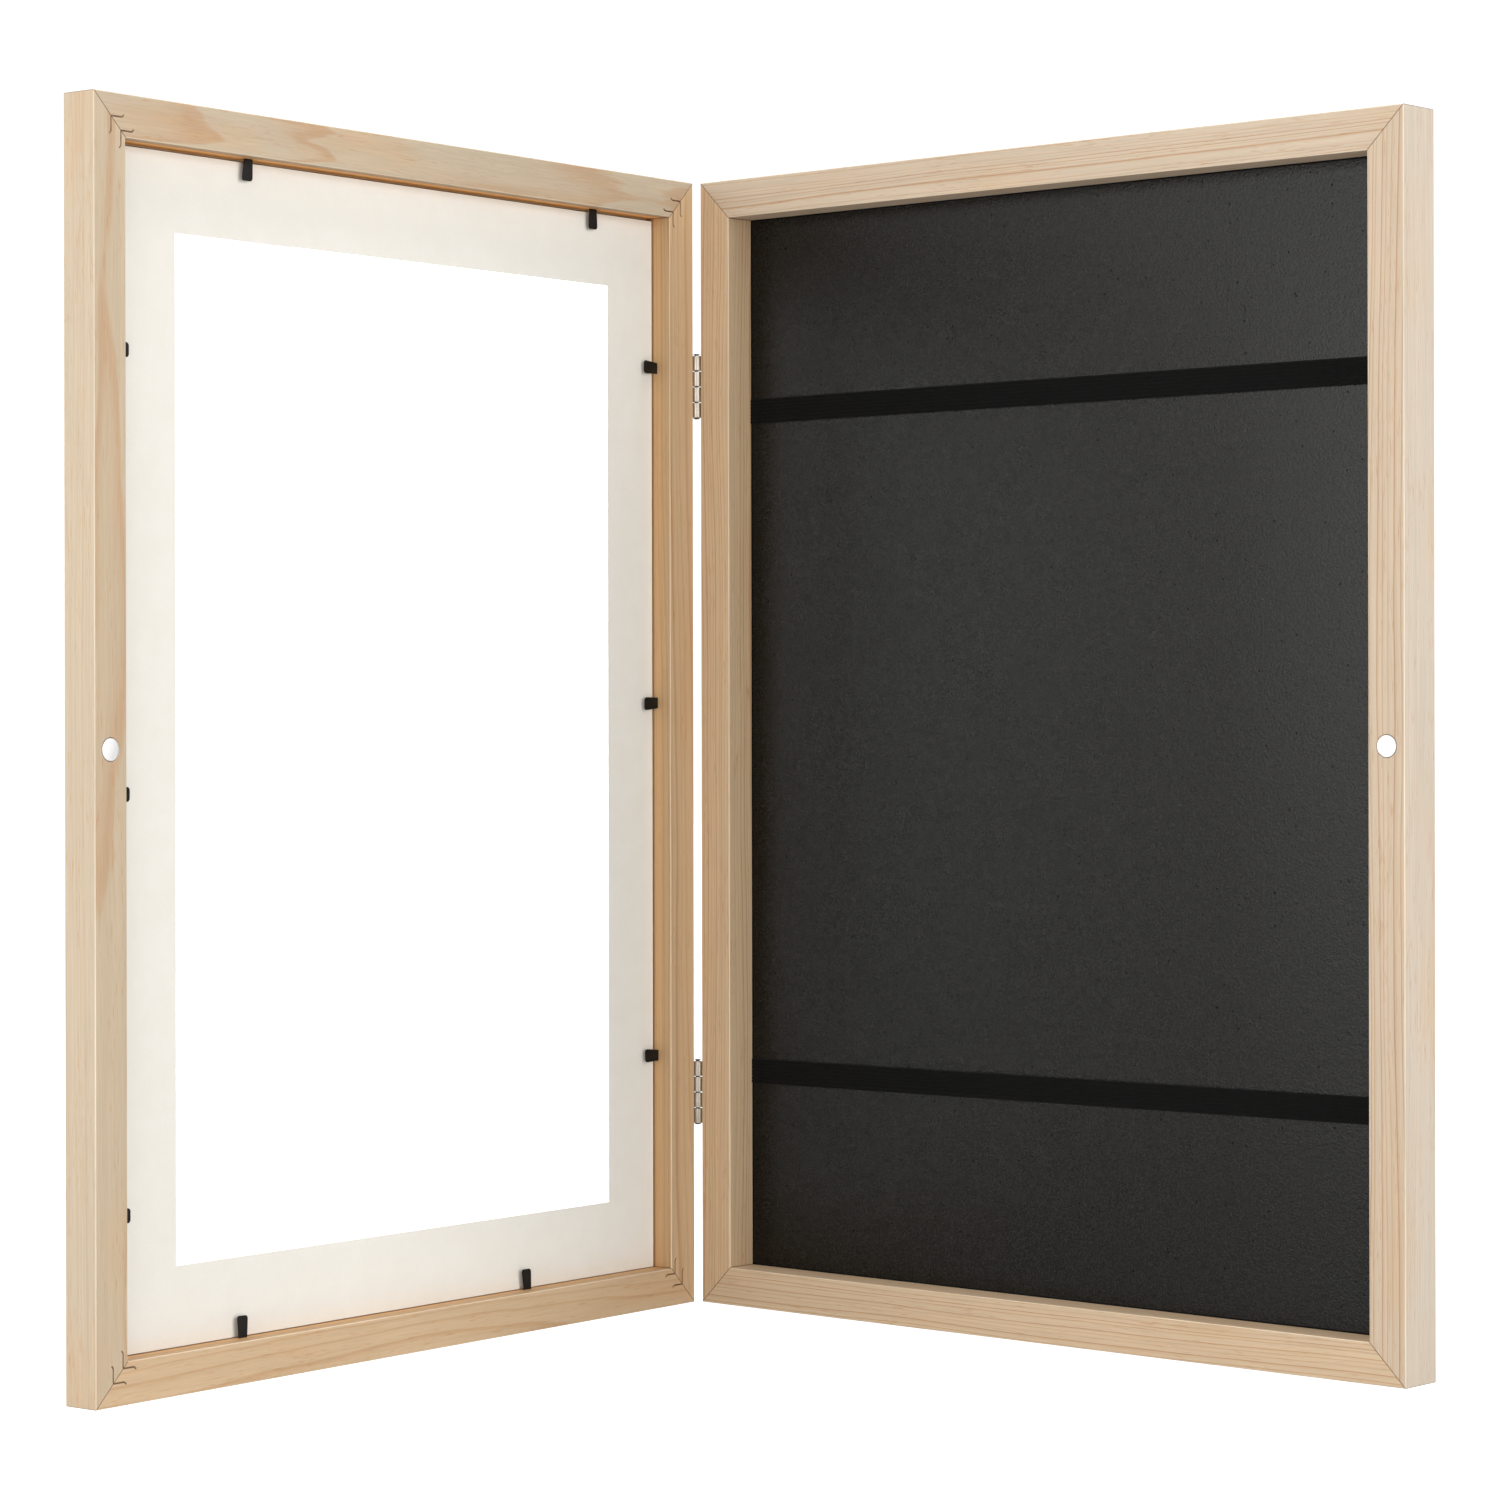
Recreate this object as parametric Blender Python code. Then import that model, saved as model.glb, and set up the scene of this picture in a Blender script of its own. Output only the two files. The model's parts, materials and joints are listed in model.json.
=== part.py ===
"""Front-opening art frame for children's drawings, standing open.

A shallow box of four mitred mouldings holds drawings on a dark board under two
elastic straps. A door of four mitred mouldings holds a clear sheet and a mat
board, and turns on two small butt hinges.

X runs along the width, away from the hinges. Y runs from the front of the box
to its back. Z points up. The origin is the middle of the underside of the box.
Every piece is modelled with the door closed, and one empty on the hinge axis
turns all that belongs to the door. Lengths are in metres, angles in degrees.
"""

import math

import bmesh
import bpy
from mathutils import Matrix, Vector

# Whole frame
FRAME_WIDTH = 0.4191
FRAME_HEIGHT = 0.5715
OPEN_ANGLE = 86.3
FACE_GAP = 0.0005
TOUCH = 0.0003
OVERRUN = 0.002
ARC_STEPS = 3
ROUND_SIDES = 24

# Mouldings
FACE_WIDTH = 0.01905
EDGE_RADIUS = 0.0005

# Box
BOX_DEPTH = 0.0254
BOX_LIP_DEPTH = 0.0175
BOX_REBATE_WIDTH = 0.007
BOARD_THICKNESS = 0.003
BOARD_PLAY = 0.0007

# Elastic straps
STRAP_WIDTH = 0.0125
STRAP_THICKNESS = 0.0012
STRAP_TUCK = 0.0055
STRAP_HEIGHT_SHARES = (0.2088, 0.7965)
STRAP_RIBS = 7
STRAP_RIB_DEPTH = 0.0003

# Door
DOOR_DEPTH = 0.01905
DOOR_LIP_DEPTH = 0.0039
DOOR_LIP_WIDTH = 0.0054
SHEET_THICKNESS = 0.002
SHEET_PLAY = 0.0008

# Mat board
MAT_THICKNESS = 0.0015
MAT_PLAY = 0.0009
MAT_HINGE_BORDER = 0.0354
MAT_FREE_BORDER = 0.0398
MAT_TOP_BORDER = 0.0356
MAT_BOTTOM_BORDER = 0.0361

# Flexible points over the mat
TAB_LENGTH = 0.010
TAB_ROOT = 0.005
TAB_WIDTH = 0.0054
TAB_TIP_WIDTH = 0.0068
TAB_THICKNESS = 0.0005
TAB_TIP_RADIUS = 0.0016
TAB_CLEARANCE = 0.00235
TOP_TAB_SHARES = (0.167, 0.752)
BOTTOM_TAB_SHARES = (0.291, 0.764)
HINGE_SIDE_TAB_SHARES = (0.222, 0.5355, 0.833)
FREE_SIDE_TAB_SHARES = (0.1415, 0.465, 0.8075)

# V-nails across the mitres of the door
V_NAIL_SHARES = (0.54, 0.85)
V_NAIL_LEG = 0.0066
V_NAIL_TIP = 0.0016
V_NAIL_DEPTH = 0.007
V_NAIL_THICKNESS = 0.0006
V_NAIL_TIP_ANGLE = 40

# Disc magnets
MAGNET_DIAMETER = 0.010
MAGNET_THICKNESS = 0.003
MAGNET_EDGE = 0.0003

# Hinges
HINGE_LENGTH = 0.03175
HINGE_HEIGHT_SHARES = (0.1876, 0.8183)
HINGE_OFFSET = 0.0025
BARREL_RADIUS = 0.0021
LEAF_THICKNESS = 0.0009
LEAF_REACH = 0.014
LEAF_START = 0.0027
LEAF_CORNER = 0.002
LEAF_LAP = 0.001
KNUCKLES = 4
PIN_RADIUS = 0.001
PIN_HEAD_RADIUS = 0.0017
PIN_HEAD_THICKNESS = 0.0006

# Hinge screws
SCREW_RADIUS = 0.0011
SCREW_LENGTH = 0.010
SCREW_TIP_LENGTH = 0.002
SCREW_TIP_RADIUS = 0.0002
SCREW_HEAD_RADIUS = 0.0021
SCREW_HEAD_THICKNESS = 0.0006
SCREW_INSET = 0.006375

# Steel points behind the board
POINT_LENGTH = 0.007
POINT_ROOT = 0.004
POINT_WIDTH = 0.005
POINT_THICKNESS = 0.0008
POINT_RADIUS = 0.0008
STILE_POINT_SHARES = (0.25, 0.75)
RAIL_POINT_SHARES = (0.5,)

# Sawtooth hanger
HANGER_LENGTH = 0.045
HANGER_HEIGHT = 0.0075
HANGER_THICKNESS = 0.0008
HANGER_RISE = 0.0012
HANGER_FOOT = 0.009
HANGER_RAMP = 0.002
HANGER_TEETH = 9
HANGER_TOOTH_DEPTH = 0.0014
HANGER_NAIL_RADIUS = 0.0008
HANGER_NAIL_LENGTH = 0.009
HANGER_NAIL_HEAD_RADIUS = 0.0018
HANGER_NAIL_HEAD_THICKNESS = 0.0007

# Derived places
AXIS_X = -FRAME_WIDTH / 2 - HINGE_OFFSET
AXIS_Y = -BOX_DEPTH / 2 - FACE_GAP / 2
MAT_BACK = DOOR_DEPTH - DOOR_LIP_DEPTH - TOUCH - SHEET_THICKNESS - TOUCH - MAT_THICKNESS


class Half:
    """The box or the door: where its inner face lies, which way its depth runs, what carries it."""

    def __init__(self, name, face, way, carrier):
        self.name = name
        self.face = face
        self.way = way
        self.carrier = carrier
        self.sockets = bmesh.new()
        self.mouldings = []

    def y(self, depth):
        """World Y, with the door closed, of a depth below the inner face."""
        return self.face + self.way * depth

    def hold(self, piece, where):
        """Parents a piece to the half's empty, at a place given with the door closed."""
        piece.parent = self.carrier
        piece.matrix_local = Matrix.Translation(-self.carrier.location) @ where


def place(x, y, z, turn=0):
    """Placement matrix: a point and a turn about Y in degrees."""
    return Matrix.Translation((x, y, z)) @ Matrix.Rotation(math.radians(turn), 4, "Y")


def circle(radius, centre=(0, 0), start=0, sweep=360):
    """Points of a full circle, or of an arc with both its ends, a share of ROUND_SIDES each."""
    steps = max(1, round(ROUND_SIDES * sweep / 360))
    count = steps if sweep == 360 else steps + 1
    angles = [math.radians(start + sweep * step / steps) for step in range(count)]
    return [(centre[0] + radius * math.cos(a), centre[1] + radius * math.sin(a)) for a in angles]


def softened(corners):
    """Outline of square corners, each given as (a, b, radius), with the corners rounded off."""
    outline = []
    count = len(corners)
    for index, (a, b, radius) in enumerate(corners):
        corner = Vector((a, b))
        if radius == 0:
            outline.append(tuple(corner))
            continue
        before = (Vector(corners[index - 1][:2]) - corner).normalized()
        after = (Vector(corners[(index + 1) % count][:2]) - corner).normalized()
        centre = corner + radius * (before + after)
        for step in range(ARC_STEPS + 1):
            angle = math.radians(90 * step / ARC_STEPS)
            outline.append(tuple(centre - radius * (after * math.cos(angle) + before * math.sin(angle))))
    return outline


def ribbon(path, half_thickness, end):
    """Outline of a strip of even thickness along an open path, lengthened by end at both ends."""
    points = [Vector(point) for point in path]
    points[0] += (points[0] - points[1]).normalized() * end
    points[-1] += (points[-1] - points[-2]).normalized() * end
    sides = ([], [])
    for index, point in enumerate(points):
        runs = []
        if index > 0:
            runs.append((point - points[index - 1]).normalized())
        if index < len(points) - 1:
            runs.append((points[index + 1] - point).normalized())
        normals = [Vector((-run.y, run.x)) for run in runs]
        middle = sum(normals, Vector((0, 0))).normalized()
        reach = half_thickness / middle.dot(normals[0])
        sides[0].append(tuple(point + middle * reach))
        sides[1].append(tuple(point - middle * reach))
    return sides[0] + sides[1][::-1]


def add_rings(mesh, rings, where=Matrix()):
    """Closed skin over a row of rings of points, with a flat cap on both ends."""
    loops = [[mesh.verts.new(where @ Vector(point)) for point in ring] for ring in rings]
    count = len(loops[0])
    for near, far in zip(loops, loops[1:]):
        for index in range(count):
            follow = (index + 1) % count
            mesh.faces.new((near[index], near[follow], far[follow], far[index]))
    mesh.faces.new(loops[0][::-1])
    mesh.faces.new(loops[-1])


def add_prism(mesh, outline, axis, start, end, where=Matrix()):
    """Prism of an outline along an axis; the outline's two values are the other two axes in order."""
    spread = {"X": lambda a, b, c: (c, a, b), "Y": lambda a, b, c: (a, c, b), "Z": lambda a, b, c: (a, b, c)}
    rings = [[spread[axis](a, b, c) for a, b in outline] for c in (start, end)]
    add_rings(mesh, rings, where)


def add_box(mesh, low, high, where=Matrix()):
    """Box between two opposite corners."""
    outline = [(low[0], low[1]), (high[0], low[1]), (high[0], high[1]), (low[0], high[1])]
    add_prism(mesh, outline, "Z", low[2], high[2], where)


def add_turned(mesh, stations, axis, where=Matrix()):
    """Turned piece along an axis through the origin, from (position, radius) stations."""
    spread = {"X": lambda a, b, c: (c, a, b), "Y": lambda a, b, c: (a, c, b), "Z": lambda a, b, c: (a, b, c)}
    rings = [[spread[axis](a, b, position) for a, b in circle(radius)] for position, radius in stations]
    add_rings(mesh, rings, where)


def finish(name, colour, roughness, metallic=0.0, alpha=1.0):
    """Principled material of one finish."""
    made = bpy.data.materials.new(name)
    made.use_nodes = True
    made.diffuse_color = (*colour, alpha)
    shader = made.node_tree.nodes["Principled BSDF"]
    shader.inputs["Base Color"].default_value = (*colour, 1.0)
    shader.inputs["Roughness"].default_value = roughness
    shader.inputs["Metallic"].default_value = metallic
    shader.inputs["Alpha"].default_value = alpha
    return made


def new_object(name, mesh):
    """Object from a working mesh, with every face turned outwards."""
    bmesh.ops.recalc_face_normals(mesh, faces=mesh.faces)
    data = bpy.data.meshes.new(name)
    mesh.to_mesh(data)
    mesh.free()
    made = bpy.data.objects.new(name, data)
    bpy.context.collection.objects.link(made)
    return made


def add_piece(half, name, mesh, material, where=Matrix()):
    """One named sub-part of a half, from a working mesh."""
    piece = new_object(name, mesh)
    piece.data.materials.append(material)
    piece.data.shade_smooth()
    piece.data.set_sharp_from_angle(angle=math.radians(30))
    half.hold(piece, where)
    return piece


def add_copy(half, name, source, where):
    """Another piece with the mesh of the first one."""
    piece = bpy.data.objects.new(name, source.data)
    bpy.context.collection.objects.link(piece)
    half.hold(piece, where)
    return piece


def add_tool(half, name, mesh):
    """Hidden shape that only serves a Boolean modifier."""
    tool = new_object(name, mesh)
    tool.hide_render = True
    tool.display_type = "WIRE"
    half.hold(tool, Matrix())
    return tool


def combine(piece, tool, operation):
    """Boolean modifier that joins a tool to a piece, or cuts it away."""
    modifier = piece.modifiers.new(tool.name, "BOOLEAN")
    modifier.operation = operation
    modifier.solver = "EXACT"
    modifier.object = tool


def rail_places(half):
    """Name, length and placement of the four mouldings, each with its outer edge on Z = 0 and inside up."""
    middle = FRAME_HEIGHT / 2
    side = FRAME_WIDTH / 2
    return {
        "rail_bottom": (FRAME_WIDTH, place(0, half.face, 0)),
        "rail_top": (FRAME_WIDTH, place(0, half.face, FRAME_HEIGHT, 180)),
        "stile_hinge": (FRAME_HEIGHT, place(-side, half.face, middle, 90)),
        "stile_free": (FRAME_HEIGHT, place(side, half.face, middle, -90)),
    }


def along(half, rail, share):
    """Placement at a share of a moulding's length, counted from the left or from the bottom."""
    length, where = rail_places(half)[rail]
    step = length * (share - 1 / 2)
    flipped = rail in ("rail_top", "stile_hinge")
    return where @ Matrix.Translation((-step if flipped else step, 0, 0))


def add_mouldings(half, corners, material):
    """Four mitred mouldings of one section, given as (across, depth, radius) corners."""
    section = softened(corners)
    setback = TOUCH / math.sqrt(2)
    for rail, (length, where) in rail_places(half).items():
        mesh = bmesh.new()
        rings = []
        for side in (-1, 1):
            rings.append([(side * (length / 2 - across - setback), half.way * depth, across)
                          for across, depth in section])
        add_rings(mesh, rings)
        half.mouldings.append(add_piece(half, f"{half.name}_{rail}", mesh, material, where))


def cut_sockets(half):
    """Cuts every socket gathered for a half out of its mouldings."""
    tool = add_tool(half, f"{half.name}_sockets", half.sockets)
    for moulding in half.mouldings:
        combine(moulding, tool, "DIFFERENCE")


def box_mouldings(box, material):
    """Box mouldings: a plain inner face, and behind it a rebate for the board."""
    back_width = FACE_WIDTH - BOX_REBATE_WIDTH
    add_mouldings(box, (
        (0, 0, EDGE_RADIUS),
        (FACE_WIDTH, 0, EDGE_RADIUS),
        (FACE_WIDTH, BOX_LIP_DEPTH, 0),
        (back_width, BOX_LIP_DEPTH, 0),
        (back_width, BOX_DEPTH, 0),
        (0, BOX_DEPTH, EDGE_RADIUS),
    ), material)


def door_mouldings(door, material):
    """Door mouldings: a deep rebate from the inner face down to a thin lip at the front."""
    lip_top = DOOR_DEPTH - DOOR_LIP_DEPTH
    lip_edge = FACE_WIDTH + DOOR_LIP_WIDTH
    add_mouldings(door, (
        (0, 0, EDGE_RADIUS),
        (FACE_WIDTH, 0, EDGE_RADIUS),
        (FACE_WIDTH, lip_top, 0),
        (lip_edge, lip_top, 0),
        (lip_edge, DOOR_DEPTH, EDGE_RADIUS),
        (0, DOOR_DEPTH, EDGE_RADIUS),
    ), material)


def back_board(box, material):
    """Board in the rear rebate of the box."""
    inset = FACE_WIDTH - BOX_REBATE_WIDTH + BOARD_PLAY
    front = BOX_LIP_DEPTH + TOUCH
    side = FRAME_WIDTH / 2 - inset
    mesh = bmesh.new()
    add_box(mesh, (-side, box.y(front), inset), (side, box.y(front + BOARD_THICKNESS), FRAME_HEIGHT - inset))
    add_piece(box, "back_board", mesh, material)


def strap_outline(box, height, margin):
    """Section of a strap: flat towards the board, ribbed towards the front."""
    back = box.y(BOX_LIP_DEPTH + margin)
    crest = box.y(BOX_LIP_DEPTH - STRAP_THICKNESS - margin)
    valley = crest + STRAP_RIB_DEPTH
    low = height - STRAP_WIDTH / 2
    pitch = STRAP_WIDTH / STRAP_RIBS
    outline = [(back, low + STRAP_WIDTH), (back, low)]
    for rib in range(STRAP_RIBS):
        start = low + rib * pitch
        outline += [(valley, start), (crest, start + pitch / 4), (crest, start + pitch * 3 / 4)]
    outline.append((valley, low + STRAP_WIDTH))
    return outline


def straps(box, material):
    """Two elastic straps across the board, their ends tucked into grooves behind the stiles' lips."""
    inner = FRAME_WIDTH / 2 - FACE_WIDTH
    reach = inner + STRAP_TUCK
    for name, share in zip(("strap_lower", "strap_upper"), STRAP_HEIGHT_SHARES):
        height = FRAME_HEIGHT * share
        mesh = bmesh.new()
        add_prism(mesh, strap_outline(box, height, 0), "X", -reach, reach)
        add_piece(box, name, mesh, material)
        half_width = STRAP_WIDTH / 2 + TOUCH
        roof = box.y(BOX_LIP_DEPTH - STRAP_THICKNESS - TOUCH)
        floor = box.y(BOX_LIP_DEPTH + TOUCH)
        for start, end in ((-reach - TOUCH, -inner + OVERRUN), (inner - OVERRUN, reach + TOUCH)):
            add_box(box.sockets, (start, roof, height - half_width), (end, floor, height + half_width))


def magnet(half, material):
    """Disc magnet, flush in the free stile at mid height."""
    where = along(half, "stile_free", 1 / 2) @ Matrix.Translation((0, 0, FACE_WIDTH / 2))
    radius = MAGNET_DIAMETER / 2
    back = MAGNET_THICKNESS
    mesh = bmesh.new()
    stations = ((0, radius - MAGNET_EDGE), (MAGNET_EDGE, radius), (back - MAGNET_EDGE, radius),
                (back, radius - MAGNET_EDGE))
    add_turned(mesh, [(half.way * depth, size) for depth, size in stations], "Y")
    add_piece(half, f"{half.name}_magnet", mesh, material, where)
    bore = radius + TOUCH
    add_turned(half.sockets, ((-half.way * OVERRUN, bore), (half.way * (back + TOUCH), bore)), "Y", where)


def clear_sheet(door, material):
    """Clear sheet against the lips of the door."""
    inset = FACE_WIDTH + SHEET_PLAY
    front = DOOR_DEPTH - DOOR_LIP_DEPTH - TOUCH
    side = FRAME_WIDTH / 2 - inset
    mesh = bmesh.new()
    add_box(mesh, (-side, door.y(front), inset), (side, door.y(front - SHEET_THICKNESS), FRAME_HEIGHT - inset))
    add_piece(door, "clear_sheet", mesh, material)


def mat_board(door, material):
    """Mat board on the clear sheet, resting on the bottom rail, its window bevelled towards the front."""
    side = FRAME_WIDTH / 2 - FACE_WIDTH - MAT_PLAY
    bottom = FACE_WIDTH + TOUCH
    top = bottom + FRAME_HEIGHT - 2 * (FACE_WIDTH + MAT_PLAY)
    front = MAT_BACK + MAT_THICKNESS
    mesh = bmesh.new()
    rings = []
    for borders, bevel, depth in ((0, 0, MAT_BACK), (0, 0, front), (1, MAT_THICKNESS, front), (1, 0, MAT_BACK)):
        left = -side + borders * (MAT_HINGE_BORDER - bevel)
        right = side - borders * (MAT_FREE_BORDER - bevel)
        low = bottom + borders * (MAT_BOTTOM_BORDER - bevel)
        high = top - borders * (MAT_TOP_BORDER - bevel)
        corners = ((left, low), (right, low), (right, high), (left, high))
        rings.append([mesh.verts.new((x, door.y(depth), z)) for x, z in corners])
    for near, far in zip(rings, rings[1:] + rings[:1]):
        for index in range(len(near)):
            follow = (index + 1) % len(near)
            mesh.faces.new((near[index], near[follow], far[follow], far[index]))
    add_piece(door, "mat_board", mesh, material)


def tab_outline():
    """Flexible point: a straight root in the wood, then a tongue that widens to a rounded tip."""
    root = TAB_WIDTH / 2
    tip = TAB_TIP_WIDTH / 2
    centre = TAB_LENGTH - TAB_TIP_RADIUS
    right = circle(TAB_TIP_RADIUS, (tip - TAB_TIP_RADIUS, centre), 0, 90)
    left = circle(TAB_TIP_RADIUS, (TAB_TIP_RADIUS - tip, centre), 90, 90)
    return [(-root, -TAB_ROOT), (root, -TAB_ROOT), (root, 0)] + right + left + [(-root, 0)]


def tabs(door, material):
    """Ten flexible points driven into the rebate walls a little way over the mat."""
    back = MAT_BACK - TAB_CLEARANCE
    front = back - TAB_THICKNESS
    rows = (
        ("rail_top", TOP_TAB_SHARES),
        ("rail_bottom", BOTTOM_TAB_SHARES),
        ("stile_hinge", HINGE_SIDE_TAB_SHARES),
        ("stile_free", FREE_SIDE_TAB_SHARES),
    )
    first = None
    half_width = TAB_WIDTH / 2 + TOUCH
    for rail, shares in rows:
        for number, share in enumerate(shares, 1):
            where = along(door, rail, share) @ Matrix.Translation((0, 0, FACE_WIDTH))
            name = f"tab_{rail}_{number}"
            if first is None:
                mesh = bmesh.new()
                add_prism(mesh, tab_outline(), "Y", door.way * front, door.way * back)
                first = add_piece(door, name, mesh, material, where)
            else:
                add_copy(door, name, first, where)
            low = (-half_width, door.way * (back + TOUCH), -TAB_ROOT - TOUCH)
            add_box(door.sockets, low, (half_width, door.way * (front - TOUCH), OVERRUN), where)


def v_nail_path(distance):
    """Middle line of a V-nail whose apex lies on the mitre at a distance from both outer edges."""
    angle = math.radians(V_NAIL_TIP_ANGLE)
    run = V_NAIL_TIP * math.cos(angle)
    rise = V_NAIL_TIP * math.sin(angle)
    end = distance + V_NAIL_LEG
    return [(end + run, distance - rise), (end, distance), (distance, distance), (distance, end),
            (distance - rise, end + run)]


def v_nails(door, material):
    """Two V-nails in each corner of the door, flush with its inner face."""
    side = FRAME_WIDTH / 2
    corners = {
        "bottom_hinge": place(-side, door.face, 0),
        "bottom_free": place(side, door.face, 0, -90),
        "top_free": place(side, door.face, FRAME_HEIGHT, 180),
        "top_hinge": place(-side, door.face, FRAME_HEIGHT, 90),
    }
    for kind, share in zip(("outer", "inner"), V_NAIL_SHARES):
        path = v_nail_path(FACE_WIDTH * share)
        first = None
        for corner, where in corners.items():
            name = f"v_nail_{corner}_{kind}"
            if first is None:
                mesh = bmesh.new()
                outline = ribbon(path, V_NAIL_THICKNESS / 2, 0)
                add_prism(mesh, outline, "Y", 0, door.way * V_NAIL_DEPTH)
                first = add_piece(door, name, mesh, material, where)
            else:
                add_copy(door, name, first, where)
            slot = ribbon(path, V_NAIL_THICKNESS / 2 + TOUCH, TOUCH)
            add_prism(door.sockets, slot, "Y", -door.way * OVERRUN, door.way * (V_NAIL_DEPTH + TOUCH), where)


def knuckle_span(height, number):
    """Bottom and top of one knuckle of a barrel around a height."""
    pitch = (HINGE_LENGTH + TOUCH) / KNUCKLES
    low = height - HINGE_LENGTH / 2 + number * pitch
    return low, low + pitch - TOUCH


def eye_outline(way):
    """Section of a knuckle with the tongue that joins it to its leaf, seen from above."""
    seat = TOUCH
    outer = TOUCH + LEAF_THICKNESS
    lap = LEAF_START + LEAF_LAP
    meet = math.degrees(math.acos((outer - HINGE_OFFSET) / BARREL_RADIUS))
    curve = circle(BARREL_RADIUS, (HINGE_OFFSET, 0), 180, 180 + meet)
    points = [(seat, lap), (seat, LEAF_START)] + curve + [(outer, lap)]
    return [(-FRAME_WIDTH / 2 - away, AXIS_Y + way * reach) for away, reach in points]


def hinge_leaf(half, label, height, owned, material):
    """Leaf on the outer side of a hinge stile, with its own knuckles and screw holes."""
    name = f"{label}_{half.name}_leaf"
    wood = -FRAME_WIDTH / 2
    bottom = height - HINGE_LENGTH / 2
    top = height + HINGE_LENGTH / 2
    near = AXIS_Y + half.way * LEAF_START
    far = AXIS_Y + half.way * LEAF_REACH
    plate = softened(((near, bottom, 0), (far, bottom, LEAF_CORNER), (far, top, LEAF_CORNER), (near, top, 0)))
    mesh = bmesh.new()
    add_prism(mesh, plate, "X", wood - TOUCH - LEAF_THICKNESS, wood - TOUCH)
    leaf = add_piece(half, name, mesh, material)
    eyes = bmesh.new()
    for number in owned:
        low, high = knuckle_span(height, number)
        add_prism(eyes, eye_outline(half.way), "Z", low, high)
    combine(leaf, add_tool(half, f"{name}_eyes", eyes), "UNION")
    holes = bmesh.new()
    bore = PIN_RADIUS + TOUCH
    add_turned(holes, ((bottom - OVERRUN, bore), (top + OVERRUN, bore)), "Z",
               Matrix.Translation((AXIS_X, AXIS_Y, 0)))
    for where in screw_places(half, height):
        hole = SCREW_RADIUS + TOUCH
        add_turned(holes, ((-OVERRUN - LEAF_THICKNESS, hole), (OVERRUN, hole)), "X", where)
    combine(leaf, add_tool(half, f"{name}_holes", holes), "DIFFERENCE")


def screw_places(half, height):
    """Where the screws of a leaf cross the side of the hinge stile, each inset from an end of the leaf."""
    reach = (LEAF_START + LEAF_REACH) / 2
    rise = HINGE_LENGTH / 2 - SCREW_INSET
    return [place(-FRAME_WIDTH / 2, AXIS_Y + half.way * reach, height + side * rise) for side in (-1, 1)]


def hinge_screws(half, label, height, material):
    """Two low-headed screws through a leaf into the stile."""
    seat = -TOUCH - LEAF_THICKNESS - TOUCH
    shank_end = SCREW_LENGTH - SCREW_TIP_LENGTH
    stations = ((seat - SCREW_HEAD_THICKNESS, SCREW_HEAD_RADIUS * 3 / 4),
                (seat - SCREW_HEAD_THICKNESS / 2, SCREW_HEAD_RADIUS),
                (seat, SCREW_HEAD_RADIUS),
                (seat, SCREW_RADIUS),
                (shank_end, SCREW_RADIUS),
                (SCREW_LENGTH, SCREW_TIP_RADIUS))
    first = None
    for number, where in enumerate(screw_places(half, height), 1):
        name = f"{label}_{half.name}_screw_{number}"
        if first is None:
            mesh = bmesh.new()
            add_turned(mesh, stations, "X")
            first = add_piece(half, name, mesh, material, where)
        else:
            add_copy(half, name, first, where)
        hole = SCREW_RADIUS + TOUCH
        add_turned(half.sockets, ((-OVERRUN, hole), (SCREW_LENGTH + TOUCH, hole)), "X", where)


def hinge_pin(box, label, height, material):
    """Pin through all the knuckles, with a low head at both ends."""
    end = HINGE_LENGTH / 2 + TOUCH
    tip = end + PIN_HEAD_THICKNESS
    crown = PIN_HEAD_RADIUS * 3 / 4
    stations = ((-tip, crown), (-end - PIN_HEAD_THICKNESS / 2, PIN_HEAD_RADIUS), (-end, PIN_HEAD_RADIUS),
                (-end, PIN_RADIUS), (end, PIN_RADIUS),
                (end, PIN_HEAD_RADIUS), (end + PIN_HEAD_THICKNESS / 2, PIN_HEAD_RADIUS), (tip, crown))
    mesh = bmesh.new()
    add_turned(mesh, stations, "Z")
    add_piece(box, f"{label}_pin", mesh, material, place(AXIS_X, AXIS_Y, height))


def hinges(box, door, material):
    """Two butt hinges whose knuckles alternate between the door, at the bottom, and the box."""
    for label, share in zip(("hinge_lower", "hinge_upper"), HINGE_HEIGHT_SHARES):
        height = FRAME_HEIGHT * share
        hinge_leaf(door, label, height, range(0, KNUCKLES, 2), material)
        hinge_leaf(box, label, height, range(1, KNUCKLES, 2), material)
        hinge_screws(door, label, height, material)
        hinge_screws(box, label, height, material)
        hinge_pin(box, label, height, material)


def board_points(box, material):
    """Steel points driven into the rebate wall behind the board."""
    front = BOX_LIP_DEPTH + TOUCH + BOARD_THICKNESS + TOUCH
    back = front + POINT_THICKNESS
    half_width = POINT_WIDTH / 2
    corners = ((-half_width, -POINT_ROOT, 0), (half_width, -POINT_ROOT, 0),
               (half_width, POINT_LENGTH, POINT_RADIUS), (-half_width, POINT_LENGTH, POINT_RADIUS))
    wall = FACE_WIDTH - BOX_REBATE_WIDTH
    rows = (
        ("stile_hinge", STILE_POINT_SHARES),
        ("stile_free", STILE_POINT_SHARES),
        ("rail_top", RAIL_POINT_SHARES),
        ("rail_bottom", RAIL_POINT_SHARES),
    )
    first = None
    for rail, shares in rows:
        for number, share in enumerate(shares, 1):
            where = along(box, rail, share) @ Matrix.Translation((0, 0, wall))
            name = f"board_point_{rail}_{number}"
            if first is None:
                mesh = bmesh.new()
                add_prism(mesh, softened(corners), "Y", front, back)
                first = add_piece(box, name, mesh, material, where)
            else:
                add_copy(box, name, first, where)
            low = (-half_width - TOUCH, front - TOUCH, -POINT_ROOT - TOUCH)
            add_box(box.sockets, low, (half_width + TOUCH, back + TOUCH, OVERRUN), where)


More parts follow.
